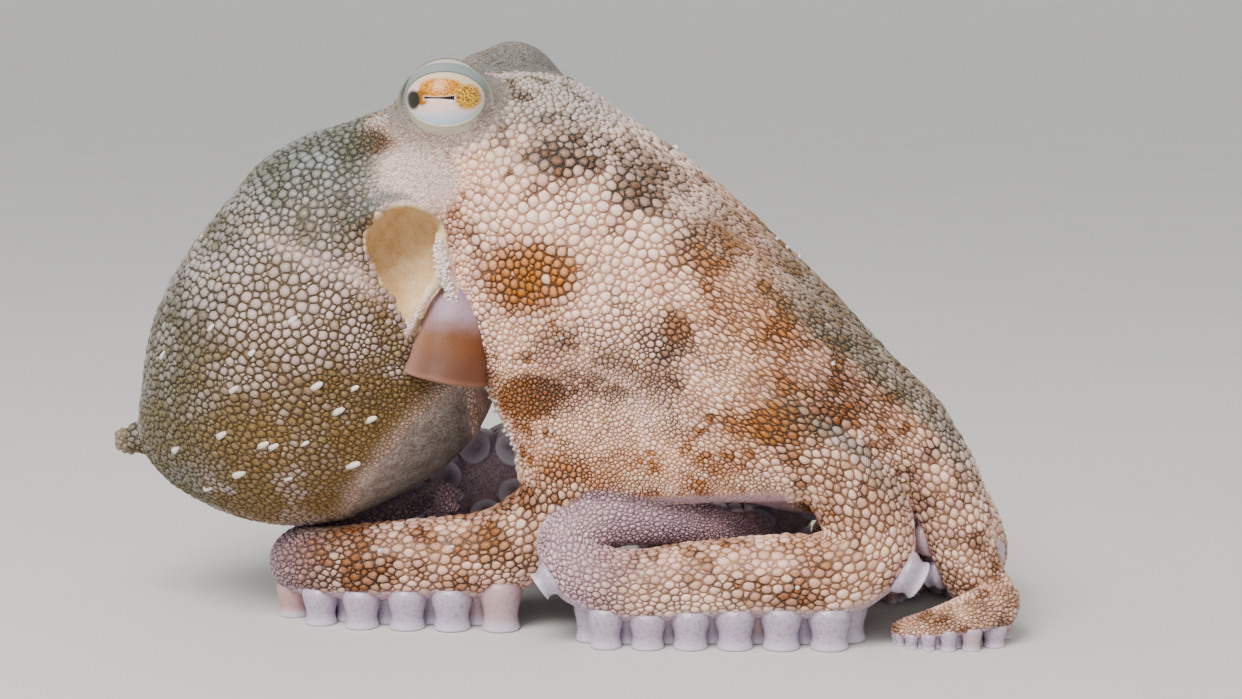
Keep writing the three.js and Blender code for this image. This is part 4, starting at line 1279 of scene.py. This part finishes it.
# ---- Papillae ----
MANTLE_PAPILLAE = [
    (-57.8, 45.5), (-52.9, 35.6), (-37.6, 31.5), (-34, 40.1), (-39.4, 41.9), (-64.6, 25.7),
    (-51.1, 35.3), (-66, 70.5), (-72, 50), (-45.5, 36), (-49, 29), (-58, 29.5), (-70, 33), (-43, 46.5),
    (-54.5, 52), (-62, 56), (-47, 58), (-60.5, 37), (-36.5, 46),
]
RIGHT_PAPILLAE = [
    (4, 79), (20, 62), (33, 52), (0, 55), (12, 44), (40, 30), (52, 38), (-2, 38), (26, 43), (60, 30),
    (8, 68), (47, 51), (28, 13), (41, 12), (14, 14), (-20, 16), (-33, 15), (50, 22), (34, 36),
    (18, 33),
]
PAPILLA_PROFILE = [(1.15, -0.5, 0), (1.0, 0.1, 0), (0.86, 0.5, 0), (0.6, 0.84, 0), (0.25, 1.0, 0)]
TAIL_END = np.array([-83.2, 15.0, 31.8])
TAIL_KNOBS = 46
FAR_PAPILLAE = 70


def papilla_places(grid, seed):
    """Roots, directions, sizes and paleness of the raised points of skin."""
    rng = np.random.default_rng(seed)
    edge = spline([(x, 0, z) for x, z in VENTRAL_EDGE], 14)[:, [0, 2]]

    def along_edge(low, high, count, spread, shift):
        chosen = rng.integers(int(len(edge) * low), int(len(edge) * high), count)
        return edge[chosen] + rng.normal(0, spread, (count, 2)) + (shift, 0)

    hang, flat = np.array([-0.2, 0, -0.15]), np.array([1.5, 0.0, 1.0])
    groups = (
        (along_edge(0, 0.45, 210, (0.42, 0.8), 0.1), 0.3, 0.55, 0.95, hang),
        (along_edge(0.4, 1, 60, (0.4, 0.9), 0.2), 0.38, 0.7, 0.7, hang),
        (np.array([(-18.4, 56.2)]), 0.9, 1.5, 1.0, hang),
        (np.array(MANTLE_PAPILLAE), 0.5, 1.35, 1.0, flat),
        (np.array(RIGHT_PAPILLAE), 0.45, 0.7, 0.8, hang),
    )
    rows = []
    for spots, width, height, white, bend in groups:
        place, normal = surface_in_front(grid, spots)
        lean = unit(normal + bend)
        scale = rng.uniform(0.7, 1.25, len(place))
        sizes = np.column_stack([width * scale, width * scale, height * scale])
        rows.append((place, lean, sizes, np.full(len(place), white)))
    around = unit(rng.normal(size=(TAIL_KNOBS, 3)) + np.array([-0.6, 0, 0]))
    knobs = TAIL_END + around * 2.0 + np.array([1.6, 0, 0.3])
    sizes = np.array((0.62, 0.62, 0.8)) * rng.uniform(0.7, 1.4, (TAIL_KNOBS, 1))
    rows.append((knobs, around, sizes, np.full(TAIL_KNOBS, 0.1)))
    return [np.concatenate(parts) for parts in zip(*rows)]


def far_papillae(grid, vertices, near, seed):
    """Scattered raised points over the sides that face away."""
    rng = np.random.default_rng(seed)
    allowed = np.nonzero((near.cobbled > 0.9) & (near.points[:, 1] > 14) & (near.free < 0.5))[0]
    chosen = rng.choice(allowed, FAR_PAPILLAE, replace=False)
    place = vertices[chosen]
    normal = unit(grid.slope(place))
    sizes = np.array((0.65, 0.65, 0.85)) * rng.uniform(0.7, 1.3, (FAR_PAPILLAE, 1))
    return place, normal, sizes, np.full(FAR_PAPILLAE, 0.8)


def papilla_material():
    """White to brown raised skin."""
    material, make, surface = new_material("papilla_skin")
    tint = make.split(make.attribute("tint"))
    position = make.node("ShaderNodeTexCoord").outputs["Object"]
    mottle = make.noise(position, 1800, 3, 0.6)
    colour = make.mix(tint[0], shade(104, 84, 62), shade(232, 224, 218))
    colour = make.mix(make.times(make.steps(mottle, 0.5, 0.72), 0.4), colour, shade(140, 112, 92))
    make.feed(surface.inputs["Base Color"], colour)
    make.feed(surface.inputs["Roughness"], make.plus(make.times(mottle, 0.3), 0.3))
    make.relief(surface, mottle, 0.3, 0.0001)
    surface.inputs["Subsurface Weight"].default_value = 0.15
    surface.inputs["Subsurface Radius"].default_value = (0.002, 0.0015, 0.001)
    return material


# ---- Eyes ----
IRIS_HALF = (6.8, 4.5)
LID_HALF = (8.5, 7.1)
IRIS_RISE = 1.0


def eye_frame(side):
    """Centre, right, up and gaze of an eye, with right as seen when facing it."""
    gaze = unit(np.array(GAZES[side]))
    up = np.array([0, 0, 1.0])
    right = np.cross(up, gaze)
    return np.array(EYES[side], float), unit(right), up, gaze


def eye_ball(side):
    """A ball whose pole faces the gaze, with its own axes stored for the iris."""
    centre, right, up, gaze = eye_frame(side)
    rings, spokes = 40, 72
    vertices, look, faces = [centre + gaze * EYE_RADIUS], [(0, 0, 1)], []
    for i in range(1, rings):
        tilt = math.pi * (i / rings) ** 1.15
        for k in range(spokes):
            angle = 2 * math.pi * k / spokes
            local = (math.sin(tilt) * math.cos(angle), math.sin(tilt) * math.sin(angle), math.cos(tilt))
            vertices.append(centre + EYE_RADIUS * (local[0] * right + local[1] * up + local[2] * gaze))
            look.append(local)
    vertices.append(centre - gaze * EYE_RADIUS)
    look.append((0, 0, -1))
    last = len(vertices) - 1
    for k in range(spokes):
        after = (k + 1) % spokes
        faces.append((0, 1 + k, 1 + after))
        faces.append((last, last - spokes + after, last - spokes + k))
        for i in range(rings - 2):
            a, b = 1 + i * spokes + k, 1 + i * spokes + after
            faces.append((a, a + spokes, b + spokes, b))
    piece = new_piece(f"eye_{side}_ball", vertices, faces)
    if np.dot(np.cross(right, up), gaze) < 0:
        piece.data.flip_normals()
    mirrored = np.array(look)
    if side == "left":
        mirrored[:, 0] *= -1
    set_vectors(piece.data, "look", mirrored * EYE_RADIUS)
    return piece


def eye_material():
    """Gold and pearl iris with a dark level pupil, under a clear wet surface."""
    material, make, surface = new_material("iris")
    look = make.attribute("look")
    x, above, _ = make.split(look)
    y = make.minus(above, IRIS_RISE)
    grain = make.noise(look, 3.2, 4, 0.7)
    streak = make.noise(look, 0.9, 3, 0.6)

    def spot(cx, cy, half_x, half_y, soft=0.4):
        dx = make.math("DIVIDE", make.minus(x, cx), half_x)
        dy = make.math("DIVIDE", make.minus(y, cy), half_y)
        away = make.math("SQRT", make.plus(make.times(dx, dx), make.times(dy, dy)))
        away = make.plus(away, make.times(make.minus(grain, 0.5), 0.5))
        return make.steps(away, 1 + soft, 1 - soft)

    pearl = make.mix(make.steps(grain, 0.35, 0.7), shade(240, 212, 208), shade(222, 184, 176))
    pearl = make.mix(make.steps(y, -1.6, -3.8), pearl, shade(186, 206, 224))
    colour = make.mix(make.steps(y, 1.4, 3.2), pearl, shade(206, 186, 160))
    gold = make.mix(make.steps(grain, 0.42, 0.6), shade(228, 150, 10), shade(140, 74, 0))
    colour = make.mix(spot(-0.5, 1.75, 4.0, 1.75, 0.15), colour, gold)
    flecks = make.mix(make.steps(grain, 0.46, 0.56), shade(226, 176, 62), shade(104, 60, 6))
    colour = make.mix(spot(4.1, 0.25, 2.3, 2.2, 0.2), colour, flecks)
    colour = make.mix(spot(-4.0, 0.1, 1.3, 1.4, 0.2), colour, make.mix(0.5, gold, shade(100, 54, 10)))
    colour = make.mix(spot(-5.5, -0.35, 1.3, 1.7, 0.25), colour, shade(36, 38, 28))
    rim = make.steps(make.plus(make.math("POWER", make.math("DIVIDE", x, 7.1), 2.0),
                               make.math("POWER", make.math("DIVIDE", y, 4.8), 2.0)), 0.75, 1.0)
    colour = make.mix(make.times(rim, 0.6), colour, shade(168, 178, 176))
    # The pupil: a level bar, thicker towards its ends.
    across = make.plus(x, 0.8)
    flare = make.times(make.times(across, across), 0.022)
    half = make.plus(make.plus(flare, make.times(across, 0.035)), 0.1)
    inside = make.steps(make.minus(make.math("ABSOLUTE", make.minus(y, 0.1)), half), 0.14, -0.02)
    inside = make.times(inside, make.steps(make.math("ABSOLUTE", across), 2.75, 2.55))
    halo = make.steps(make.minus(make.math("ABSOLUTE", y), half), 0.5, 0.05)
    halo = make.times(halo, make.steps(make.math("ABSOLUTE", across), 3.1, 2.5))
    colour = make.mix(make.times(halo, 0.65), colour, shade(240, 218, 200))
    colour = make.mix(inside, colour, shade(14, 11, 12))
    make.feed(surface.inputs["Base Color"], colour)
    make.feed(surface.inputs["Roughness"], make.plus(make.times(streak, 0.2), 0.25))
    make.relief(surface, grain, 0.15, 0.0001)
    surface.inputs["Specular IOR Level"].default_value = 0.3
    surface.inputs["Coat Weight"].default_value = 0.25
    surface.inputs["Coat Roughness"].default_value = 0.06
    return material


def eyelid(grid, side):
    """A soft ring from the skin of the eye mound in to the eye's surface."""
    centre, right, up, gaze = eye_frame(side)
    rings, spokes = 22, 96
    angles = np.linspace(0, 2 * np.pi, spokes, endpoint=False)

    def skin_depth(offset):
        start = centre + offset + gaze * 16
        reach = np.zeros(len(start))
        for _ in range(50):
            reach += np.clip(grid.sample(start - gaze * reach[:, None]) + SKIN_INSET, -0.5, 3) * 0.8
        return np.clip(16 - reach, 2.4, 7.5)

    outer = np.cos(angles)[:, None] * right * LID_HALF[0] + np.sin(angles)[:, None] * up * LID_HALF[1]
    outer_depth = skin_depth(outer) - 0.25
    rows, values = [], []
    for i in range(rings):
        t = i / (rings - 1)
        wide = LID_HALF[0] + (IRIS_HALF[0] - LID_HALF[0]) * t
        high = LID_HALF[1] + (IRIS_HALF[1] - LID_HALF[1]) * t
        flat_x, flat_y = np.cos(angles) * wide, np.sin(angles) * high
        rise = IRIS_RISE * t
        ball = np.sqrt(np.maximum(EYE_RADIUS ** 2 - flat_x ** 2 - (flat_y + rise) ** 2, 0.5))
        blend = t * t * (3 - 2 * t)
        depth = outer_depth * (1 - blend) + ball * blend
        lip = 0.3 * math.sin(math.pi * min(t * 1.02, 1)) ** 0.8 + 0.22 * math.exp(-((t - 0.86) / 0.08) ** 2)
        depth = np.maximum(depth + lip, ball + 0.16) - (0.7 if i == rings - 1 else 0)
        rows.append(centre + flat_x[:, None] * right + (flat_y + rise)[:, None] * up + depth[:, None] * gaze)
        values.append(np.full(spokes, t))
    piece = new_piece(f"eyelid_{side}", np.concatenate(rows), ring_faces(rings, spokes))
    if np.dot(np.cross(right, up), gaze) < 0:
        piece.data.flip_normals()
    heights, sides = np.tile(np.sin(angles), rings), np.tile(np.cos(angles), rings)
    set_vectors(piece.data, "lid", np.column_stack([np.concatenate(values), heights, sides]))
    return piece


def eyelid_material():
    """Pale, bluish, half clear skin with fine dark specks along its edge."""
    material, make, surface = new_material("eyelid_skin")
    lid = make.split(make.attribute("lid"))
    position = make.node("ShaderNodeTexCoord").outputs["Object"]
    fine = make.noise(position, 2400, 3, 0.65)
    soft = make.noise(position, 500, 3, 0.6)
    colour = make.mix(lid[0], shade(128, 126, 106), shade(140, 150, 146))
    colour = make.mix(make.steps(lid[1], -0.2, -0.9), colour, shade(194, 188, 166))
    colour = make.mix(make.times(make.steps(lid[1], 0.1, 0.9), 0.8), colour, shade(126, 138, 142))
    # Painted shade: a dark band along the inner rim of the upper lid, where it overhangs the eye.
    band = make.times(make.steps(lid[0], 0.84, 0.95), make.steps(lid[1], -0.4, 0.5))
    colour = make.mix(make.times(band, 0.8), colour, shade(84, 88, 84))
    specks = make.times(make.steps(fine, 0.6, 0.7), make.steps(lid[0], 0.5, 0.8))
    colour = make.mix(make.times(specks, 0.7), colour, shade(112, 96, 70))
    colour = make.mix(make.times(make.steps(soft, 0.5, 0.75), 0.3), colour, shade(160, 146, 134))
    make.feed(surface.inputs["Base Color"], colour)
    make.feed(surface.inputs["Roughness"], make.plus(make.times(soft, 0.25), 0.2))
    make.relief(surface, fine, 0.25, 0.0001)
    surface.inputs["Subsurface Weight"].default_value = 0.15
    surface.inputs["Subsurface Radius"].default_value = (0.002, 0.002, 0.002)
    surface.inputs["Specular IOR Level"].default_value = 0.25
    surface.inputs["Coat Weight"].default_value = 0.05
    surface.inputs["Coat Roughness"].default_value = 0.3
    return material


# ---- Funnel ----
FUNNEL_WIDTHS = [(0, 1.5), (0.1, 2.9), (0.25, 4.4), (0.5, 6.0), (0.75, 7.1), (1.0, 7.7)]
FUNNEL_WALL = 0.9
FUNNEL_FLAT = 0.86


def funnel_mesh():
    """A thin-walled bell, open below, with a rounded rim."""
    top, mouth = np.array(FUNNEL_TOP, float), np.array(FUNNEL_MOUTH, float)
    down = unit(mouth - top)
    right = unit(np.array([1.0, 0, 0]) - down * down[0])
    back = np.cross(down, right) * -1
    spokes = 72
    angles = np.linspace(0, 2 * np.pi, spokes, endpoint=False)
    places, widths = zip(*FUNNEL_WIDTHS)
    rows = [(s, 0.0, 0.0) for s in np.linspace(0, 0.97, 26)]
    rows += [(0.97 + 0.03 * math.sin(a), FUNNEL_WALL / 2 * (1 - math.cos(a)), a / math.pi) for a in
             np.linspace(0.2, math.pi, 7)]
    rows += [(s, FUNNEL_WALL, 1.0) for s in np.linspace(0.93, 0.3, 16)]
    vertices, values = [], []
    length = np.linalg.norm(mouth - top)
    for s, inset, inner in rows:
        width = np.interp(s, places, widths) - inset
        wobble = 1 + 0.03 * s * np.sin(3 * angles + 0.7) + 0.015 * np.sin(5 * angles + 9 * s)
        reach = s * (1 + 0.03 * s * np.cos(angles - 0.9) + 0.1 * s * np.maximum(-np.sin(angles), 0))
        row = top + down * length * reach[:, None] + right * (width * wobble * np.cos(angles))[:, None] \
            + back * (width * FUNNEL_FLAT * wobble * np.sin(angles))[:, None]
        vertices.append(row)
        values.append(np.column_stack([np.full(spokes, s), np.cos(angles), np.full(spokes, inner)]))
    faces = ring_faces(len(rows), spokes)
    faces.append(tuple(reversed(range(spokes))))
    faces.append(tuple((len(rows) - 1) * spokes + k for k in range(spokes)))
    piece = new_piece("funnel_bell", np.concatenate(vertices), faces)
    set_vectors(piece.data, "bell", np.concatenate(values))
    return piece


def funnel_material():
    """Thin flesh that goes from lilac through orange brown to pinkish brown at the rim."""
    material, make, surface = new_material("funnel_flesh")
    bell = make.split(make.attribute("bell"))
    position = make.node("ShaderNodeTexCoord").outputs["Object"]
    soft = make.noise(position, 260, 4, 0.6)
    fine = make.noise(position, 1600, 3, 0.6)
    along = make.plus(bell[0], make.times(make.minus(soft, 0.5), 0.25))
    colour = make.mix(make.steps(along, 0.0, 0.3), shade(122, 104, 126), shade(162, 138, 152))
    colour = make.mix(make.steps(along, 0.28, 0.6), colour, shade(112, 66, 36))
    colour = make.mix(make.steps(along, 0.68, 0.88), colour, shade(104, 64, 46))
    colour = make.mix(make.steps(bell[0], 0.93, 0.99), colour, shade(132, 90, 74))
    # Painted light: the middle of the funnel is paler down its left side, the side the key light falls on.
    side = make.times(make.steps(bell[1], -0.3, -0.95), make.steps(along, 0.3, 0.6))
    colour = make.mix(make.times(side, 0.4), colour, shade(204, 160, 148))
    # Painted shade: the inner wall of the bell is darker, for the shade inside it.
    colour = make.mix(make.steps(bell[2], 0.6, 1.0), colour, shade(96, 68, 58))
    colour = make.mix(make.times(make.steps(fine, 0.55, 0.75), 0.25), colour, shade(128, 86, 66))
    make.feed(surface.inputs["Base Color"], colour)
    make.feed(surface.inputs["Roughness"], make.plus(make.times(soft, 0.3), 0.42))
    make.relief(surface, fine, 0.35, 0.0002)
    surface.inputs["Subsurface Weight"].default_value = 0.2
    surface.inputs["Subsurface Radius"].default_value = (0.002, 0.0012, 0.001)
    surface.inputs["Specular IOR Level"].default_value = 0.3
    surface.inputs["Coat Weight"].default_value = 0.05
    surface.inputs["Coat Roughness"].default_value = 0.3
    return material


# ---- The shared body, made once ----
class Body:
    """Grid, skin mesh and markings that the pieces are built on."""
    made = None

    def __init__(self):
        self.grid = body_grid()
        self.vertices, self.quads = skin_mesh(self.grid)
        self.near = Surroundings(self.vertices, unit(self.grid.slope(self.vertices)))

    @classmethod
    def get(cls):
        if cls.made is None:
            cls.made = cls()
            skin_colour_group()
        return cls.made


def flesh_nodes():
    return [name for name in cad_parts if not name.startswith(("eye_", "funnel"))]


def finish_piece(piece, material=None):
    if material is not None:
        piece.data.materials.clear()
        piece.data.materials.append(material)
    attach(piece, "root")


# ---- Add-on ----
class OctopusSettings(bpy.types.PropertyGroup):
    seed: IntProperty(name="Seed", description="Seed of the scattered cobbles", default=4, min=0)
    groove: FloatProperty(name="Groove", description="Width of the lines between cobbles", default=0.00012,
                          min=0.00002, max=0.001, subtype="DISTANCE", unit="LENGTH", precision=5)
    cobble_height: FloatProperty(name="Cobble height", description="Rise of the largest cobbles",
                                 default=0.0004, min=0.00005, max=0.001, subtype="DISTANCE",
                                 unit="LENGTH", precision=5)
    sucker_spacing: FloatProperty(name="Sucker spacing", default=0.54, min=0.4, max=1.5, subtype="FACTOR",
                                  description="Step between suckers, of the arm's radius")
    camera_distance: FloatProperty(name="Camera distance", description="From the camera to the animal",
                                   default=0.45, min=0.2, max=2.0, subtype="DISTANCE", unit="LENGTH")
    camera_rise: FloatProperty(name="Camera rise", description="Angle at which the camera looks down",
                               default=math.radians(8), min=0.0, max=1.2, subtype="ANGLE", unit="ROTATION")


class OCTOPUS_OT_skin(bpy.types.Operator):
    """Build the one skin of mantle, head, web and arms"""
    bl_idname = "octopus.skin"
    bl_label = "Build skin"

    def execute(self, context):
        body = Body.get()
        skin = new_piece("skin", body.vertices, body.quads.tolist())
        body.near.store(skin.data, body.near.cobbled, np.full(len(body.vertices), 0.5))
        finish_piece(skin, skin_material("octopus_skin", 0.0003))
        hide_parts(*flesh_nodes())
        return {"FINISHED"}


class OCTOPUS_OT_cobbles(bpy.types.Operator):
    """Pave the skin with rounded cobbles of flesh"""
    bl_idname = "octopus.cobbles"
    bl_label = "Build cobbles"

    def execute(self, context):
        settings = context.scene.octopus
        body = Body.get()
        cobbles = Cobbles(body.grid, body.vertices, body.quads, body.near, settings)
        material = skin_material("cobble_skin", 0.0001)
        for piece in cobble_pieces(cobbles, settings.cobble_height / MM):
            finish_piece(piece, material)
        return {"FINISHED"}


class OCTOPUS_OT_suckers(bpy.types.Operator):
    """Set two rows of suckers along every arm"""
    bl_idname = "octopus.suckers"
    bl_label = "Build suckers"

    def execute(self, context):
        body = Body.get()
        material = sucker_material()
        shape = turned_shape("sucker_shape", SUCKER_PROFILE, 20)
        rng = np.random.default_rng(12)
        for side in ("r", "l"):
            rows = [sucker_places(body.grid, arm, context.scene.octopus)
                    for name, arm in ARMS.items() if name.startswith(side)]
            roots, directions, sizes = (np.concatenate(parts) for parts in zip(*rows))
            tint = np.zeros((len(roots), 3))
            tint[:, 0] = np.where(rng.random(len(roots)) < 0.22, rng.uniform(0.4, 1, len(roots)), 0.1)
            piece = place_on_points(f"suckers_{side}", shape, roots, directions, sizes, tint, material, 0, 1)
            finish_piece(piece)
        bpy.data.objects.remove(shape)
        return {"FINISHED"}


class OCTOPUS_OT_papillae(bpy.types.Operator):
    """Raise white points on the skin and knobs on the tail"""
    bl_idname = "octopus.papillae"
    bl_label = "Build papillae"

    def execute(self, context):
        body = Body.get()
        shape = turned_shape("papilla_shape", PAPILLA_PROFILE, 12)
        parts = [papilla_places(body.grid, 8), far_papillae(body.grid, body.vertices, body.near, 9)]
        roots, directions, sizes, white = (np.concatenate(rows) for rows in zip(*parts))
        tint = np.column_stack([white, white * 0, white * 0])
        material = papilla_material()
        piece = place_on_points("papillae", shape, roots, directions, sizes, tint, material, 0.15, 2)
        finish_piece(piece)
        bpy.data.objects.remove(shape)
        return {"FINISHED"}


class OCTOPUS_OT_eyes(bpy.types.Operator):
    """Build both eyes and their lids"""
    bl_idname = "octopus.eyes"
    bl_label = "Build eyes"

    def execute(self, context):
        body = Body.get()
        iris, lid_skin = eye_material(), eyelid_material()
        for side in EYES:
            ball = eye_ball(side)
            finish_piece(ball, iris)
            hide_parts(f"eye_{side}")
            finish_piece(eyelid(body.grid, side), lid_skin)
        return {"FINISHED"}


class OCTOPUS_OT_funnel(bpy.types.Operator):
    """Build the funnel"""
    bl_idname = "octopus.funnel"
    bl_label = "Build funnel"

    def execute(self, context):
        funnel = funnel_mesh()
        finish_piece(funnel, funnel_material())
        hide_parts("funnel")
        return {"FINISHED"}


# ---- Stage ----
# The floor's radius and height, m.
FLOOR_PROFILE = [(4, 0), (5, 0.02), (6, 0.14), (7, 0.42), (8, 0.9), (9, 1.6), (10, 2.5)]
FLOOR_SIDES = 96
LIGHT_AIM = Vector((0, 0, 0.05))
KEY_LIGHT = dict(place=(-0.2, -0.45, 0.6), size=0.35, energy=7.0, colour=(1.0, 0.96, 0.9))
SUN_STRENGTH = 1.1
SUN_ANGLE = 0.9
SUN_TURN = (0.75, -0.25, 0.0)
SKY_COLOUR = (0.86, 0.85, 0.83, 1)
SKY_STRENGTH = 0.75
CAMERA_LENS = 72.46
CAMERA_AIM = Vector((10.26, 0, 51))  # mm, in the animal's own frame


def floor_piece():
    """A round, pale floor that rises towards its edge."""
    angles = [2 * math.pi * k / FLOOR_SIDES for k in range(FLOOR_SIDES)]
    places = [(r * math.cos(a), r * math.sin(a), z) for r, z in FLOOR_PROFILE for a in angles]
    faces = [tuple(range(FLOOR_SIDES))]
    faces += [(a, d, c, b) for a, b, c, d in ring_faces(len(FLOOR_PROFILE), FLOOR_SIDES)]
    mesh = bpy.data.meshes.new("floor")
    mesh.from_pydata(places, [], faces)
    mesh.shade_smooth()
    material, make, surface = new_material("pale_floor")
    grain = make.noise(make.node("ShaderNodeTexCoord").outputs["Object"], 14, 3, 0.5)
    make.feed(surface.inputs["Base Color"], make.mix(grain, shade(214, 214, 210), shade(204, 204, 201)))
    surface.inputs["Roughness"].default_value = 0.7
    mesh.materials.append(material)
    return linked_object("floor", mesh)


def add_area_light(name, place, size, energy, colour):
    light = bpy.data.lights.new(name, "AREA")
    light.size = size
    light.energy = energy
    light.color = colour
    lamp = linked_object(name, light)
    lamp.location = place
    lamp.rotation_euler = (LIGHT_AIM - Vector(place)).to_track_quat("-Z", "Y").to_euler()


def add_sun(name):
    sun = bpy.data.lights.new(name, "SUN")
    sun.energy = SUN_STRENGTH
    sun.angle = SUN_ANGLE
    linked_object(name, sun).rotation_euler = SUN_TURN


def add_sky(scene):
    world = bpy.data.worlds.new("studio")
    world.use_nodes = True
    background = world.node_tree.nodes["Background"]
    background.inputs["Color"].default_value = SKY_COLOUR
    background.inputs["Strength"].default_value = SKY_STRENGTH
    scene.world = world


def add_camera(scene):
    camera = bpy.data.cameras.new("camera")
    camera.lens = CAMERA_LENS
    camera.clip_start = 0.01
    viewer = linked_object("camera", camera)
    target = (CAMERA_AIM + Vector(CENTRE_SHIFT)) * MM
    rise = scene.octopus.camera_rise
    towards = Vector((0, -math.cos(rise), math.sin(rise)))
    viewer.location = target + towards * scene.octopus.camera_distance
    viewer.rotation_euler = (target - viewer.location).to_track_quat("-Z", "Y").to_euler()
    scene.camera = viewer


class OCTOPUS_OT_stage(bpy.types.Operator):
    """Add the floor, the studio light and the camera"""
    bl_idname = "octopus.stage"
    bl_label = "Build stage"

    def execute(self, context):
        floor = floor_piece()
        add_area_light("key", **KEY_LIGHT)
        add_sun("soft_sun")
        add_sky(context.scene)
        add_camera(context.scene)
        return {"FINISHED"}


class OCTOPUS_PT_panel(bpy.types.Panel):
    """Octopus settings and steps"""
    bl_label = "Octopus"
    bl_idname = "OCTOPUS_PT_panel"
    bl_space_type = "VIEW_3D"
    bl_region_type = "UI"
    bl_category = "Octopus"

    def draw(self, context):
        settings = context.scene.octopus
        for name in ("seed", "groove", "cobble_height", "sucker_spacing", "camera_distance", "camera_rise"):
            self.layout.prop(settings, name)
        for operator in OPERATORS:
            self.layout.operator(operator.bl_idname)


OPERATORS = (
    OCTOPUS_OT_skin, OCTOPUS_OT_cobbles, OCTOPUS_OT_suckers, OCTOPUS_OT_papillae, OCTOPUS_OT_eyes,
    OCTOPUS_OT_funnel, OCTOPUS_OT_stage,
)
CLASSES = (OctopusSettings, *OPERATORS, OCTOPUS_PT_panel)


def register():
    for cls in CLASSES:
        bpy.utils.register_class(cls)
    bpy.types.Scene.octopus = PointerProperty(type=OctopusSettings)


def unregister():
    del bpy.types.Scene.octopus
    for cls in reversed(CLASSES):
        bpy.utils.unregister_class(cls)


def main():
    register()
    bpy.ops.octopus.stage()
    bpy.ops.octopus.skin()
    bpy.ops.octopus.cobbles()
    bpy.ops.octopus.suckers()
    bpy.ops.octopus.papillae()
    bpy.ops.octopus.eyes()
    bpy.ops.octopus.funnel()


if __name__ == "__main__":
    main()
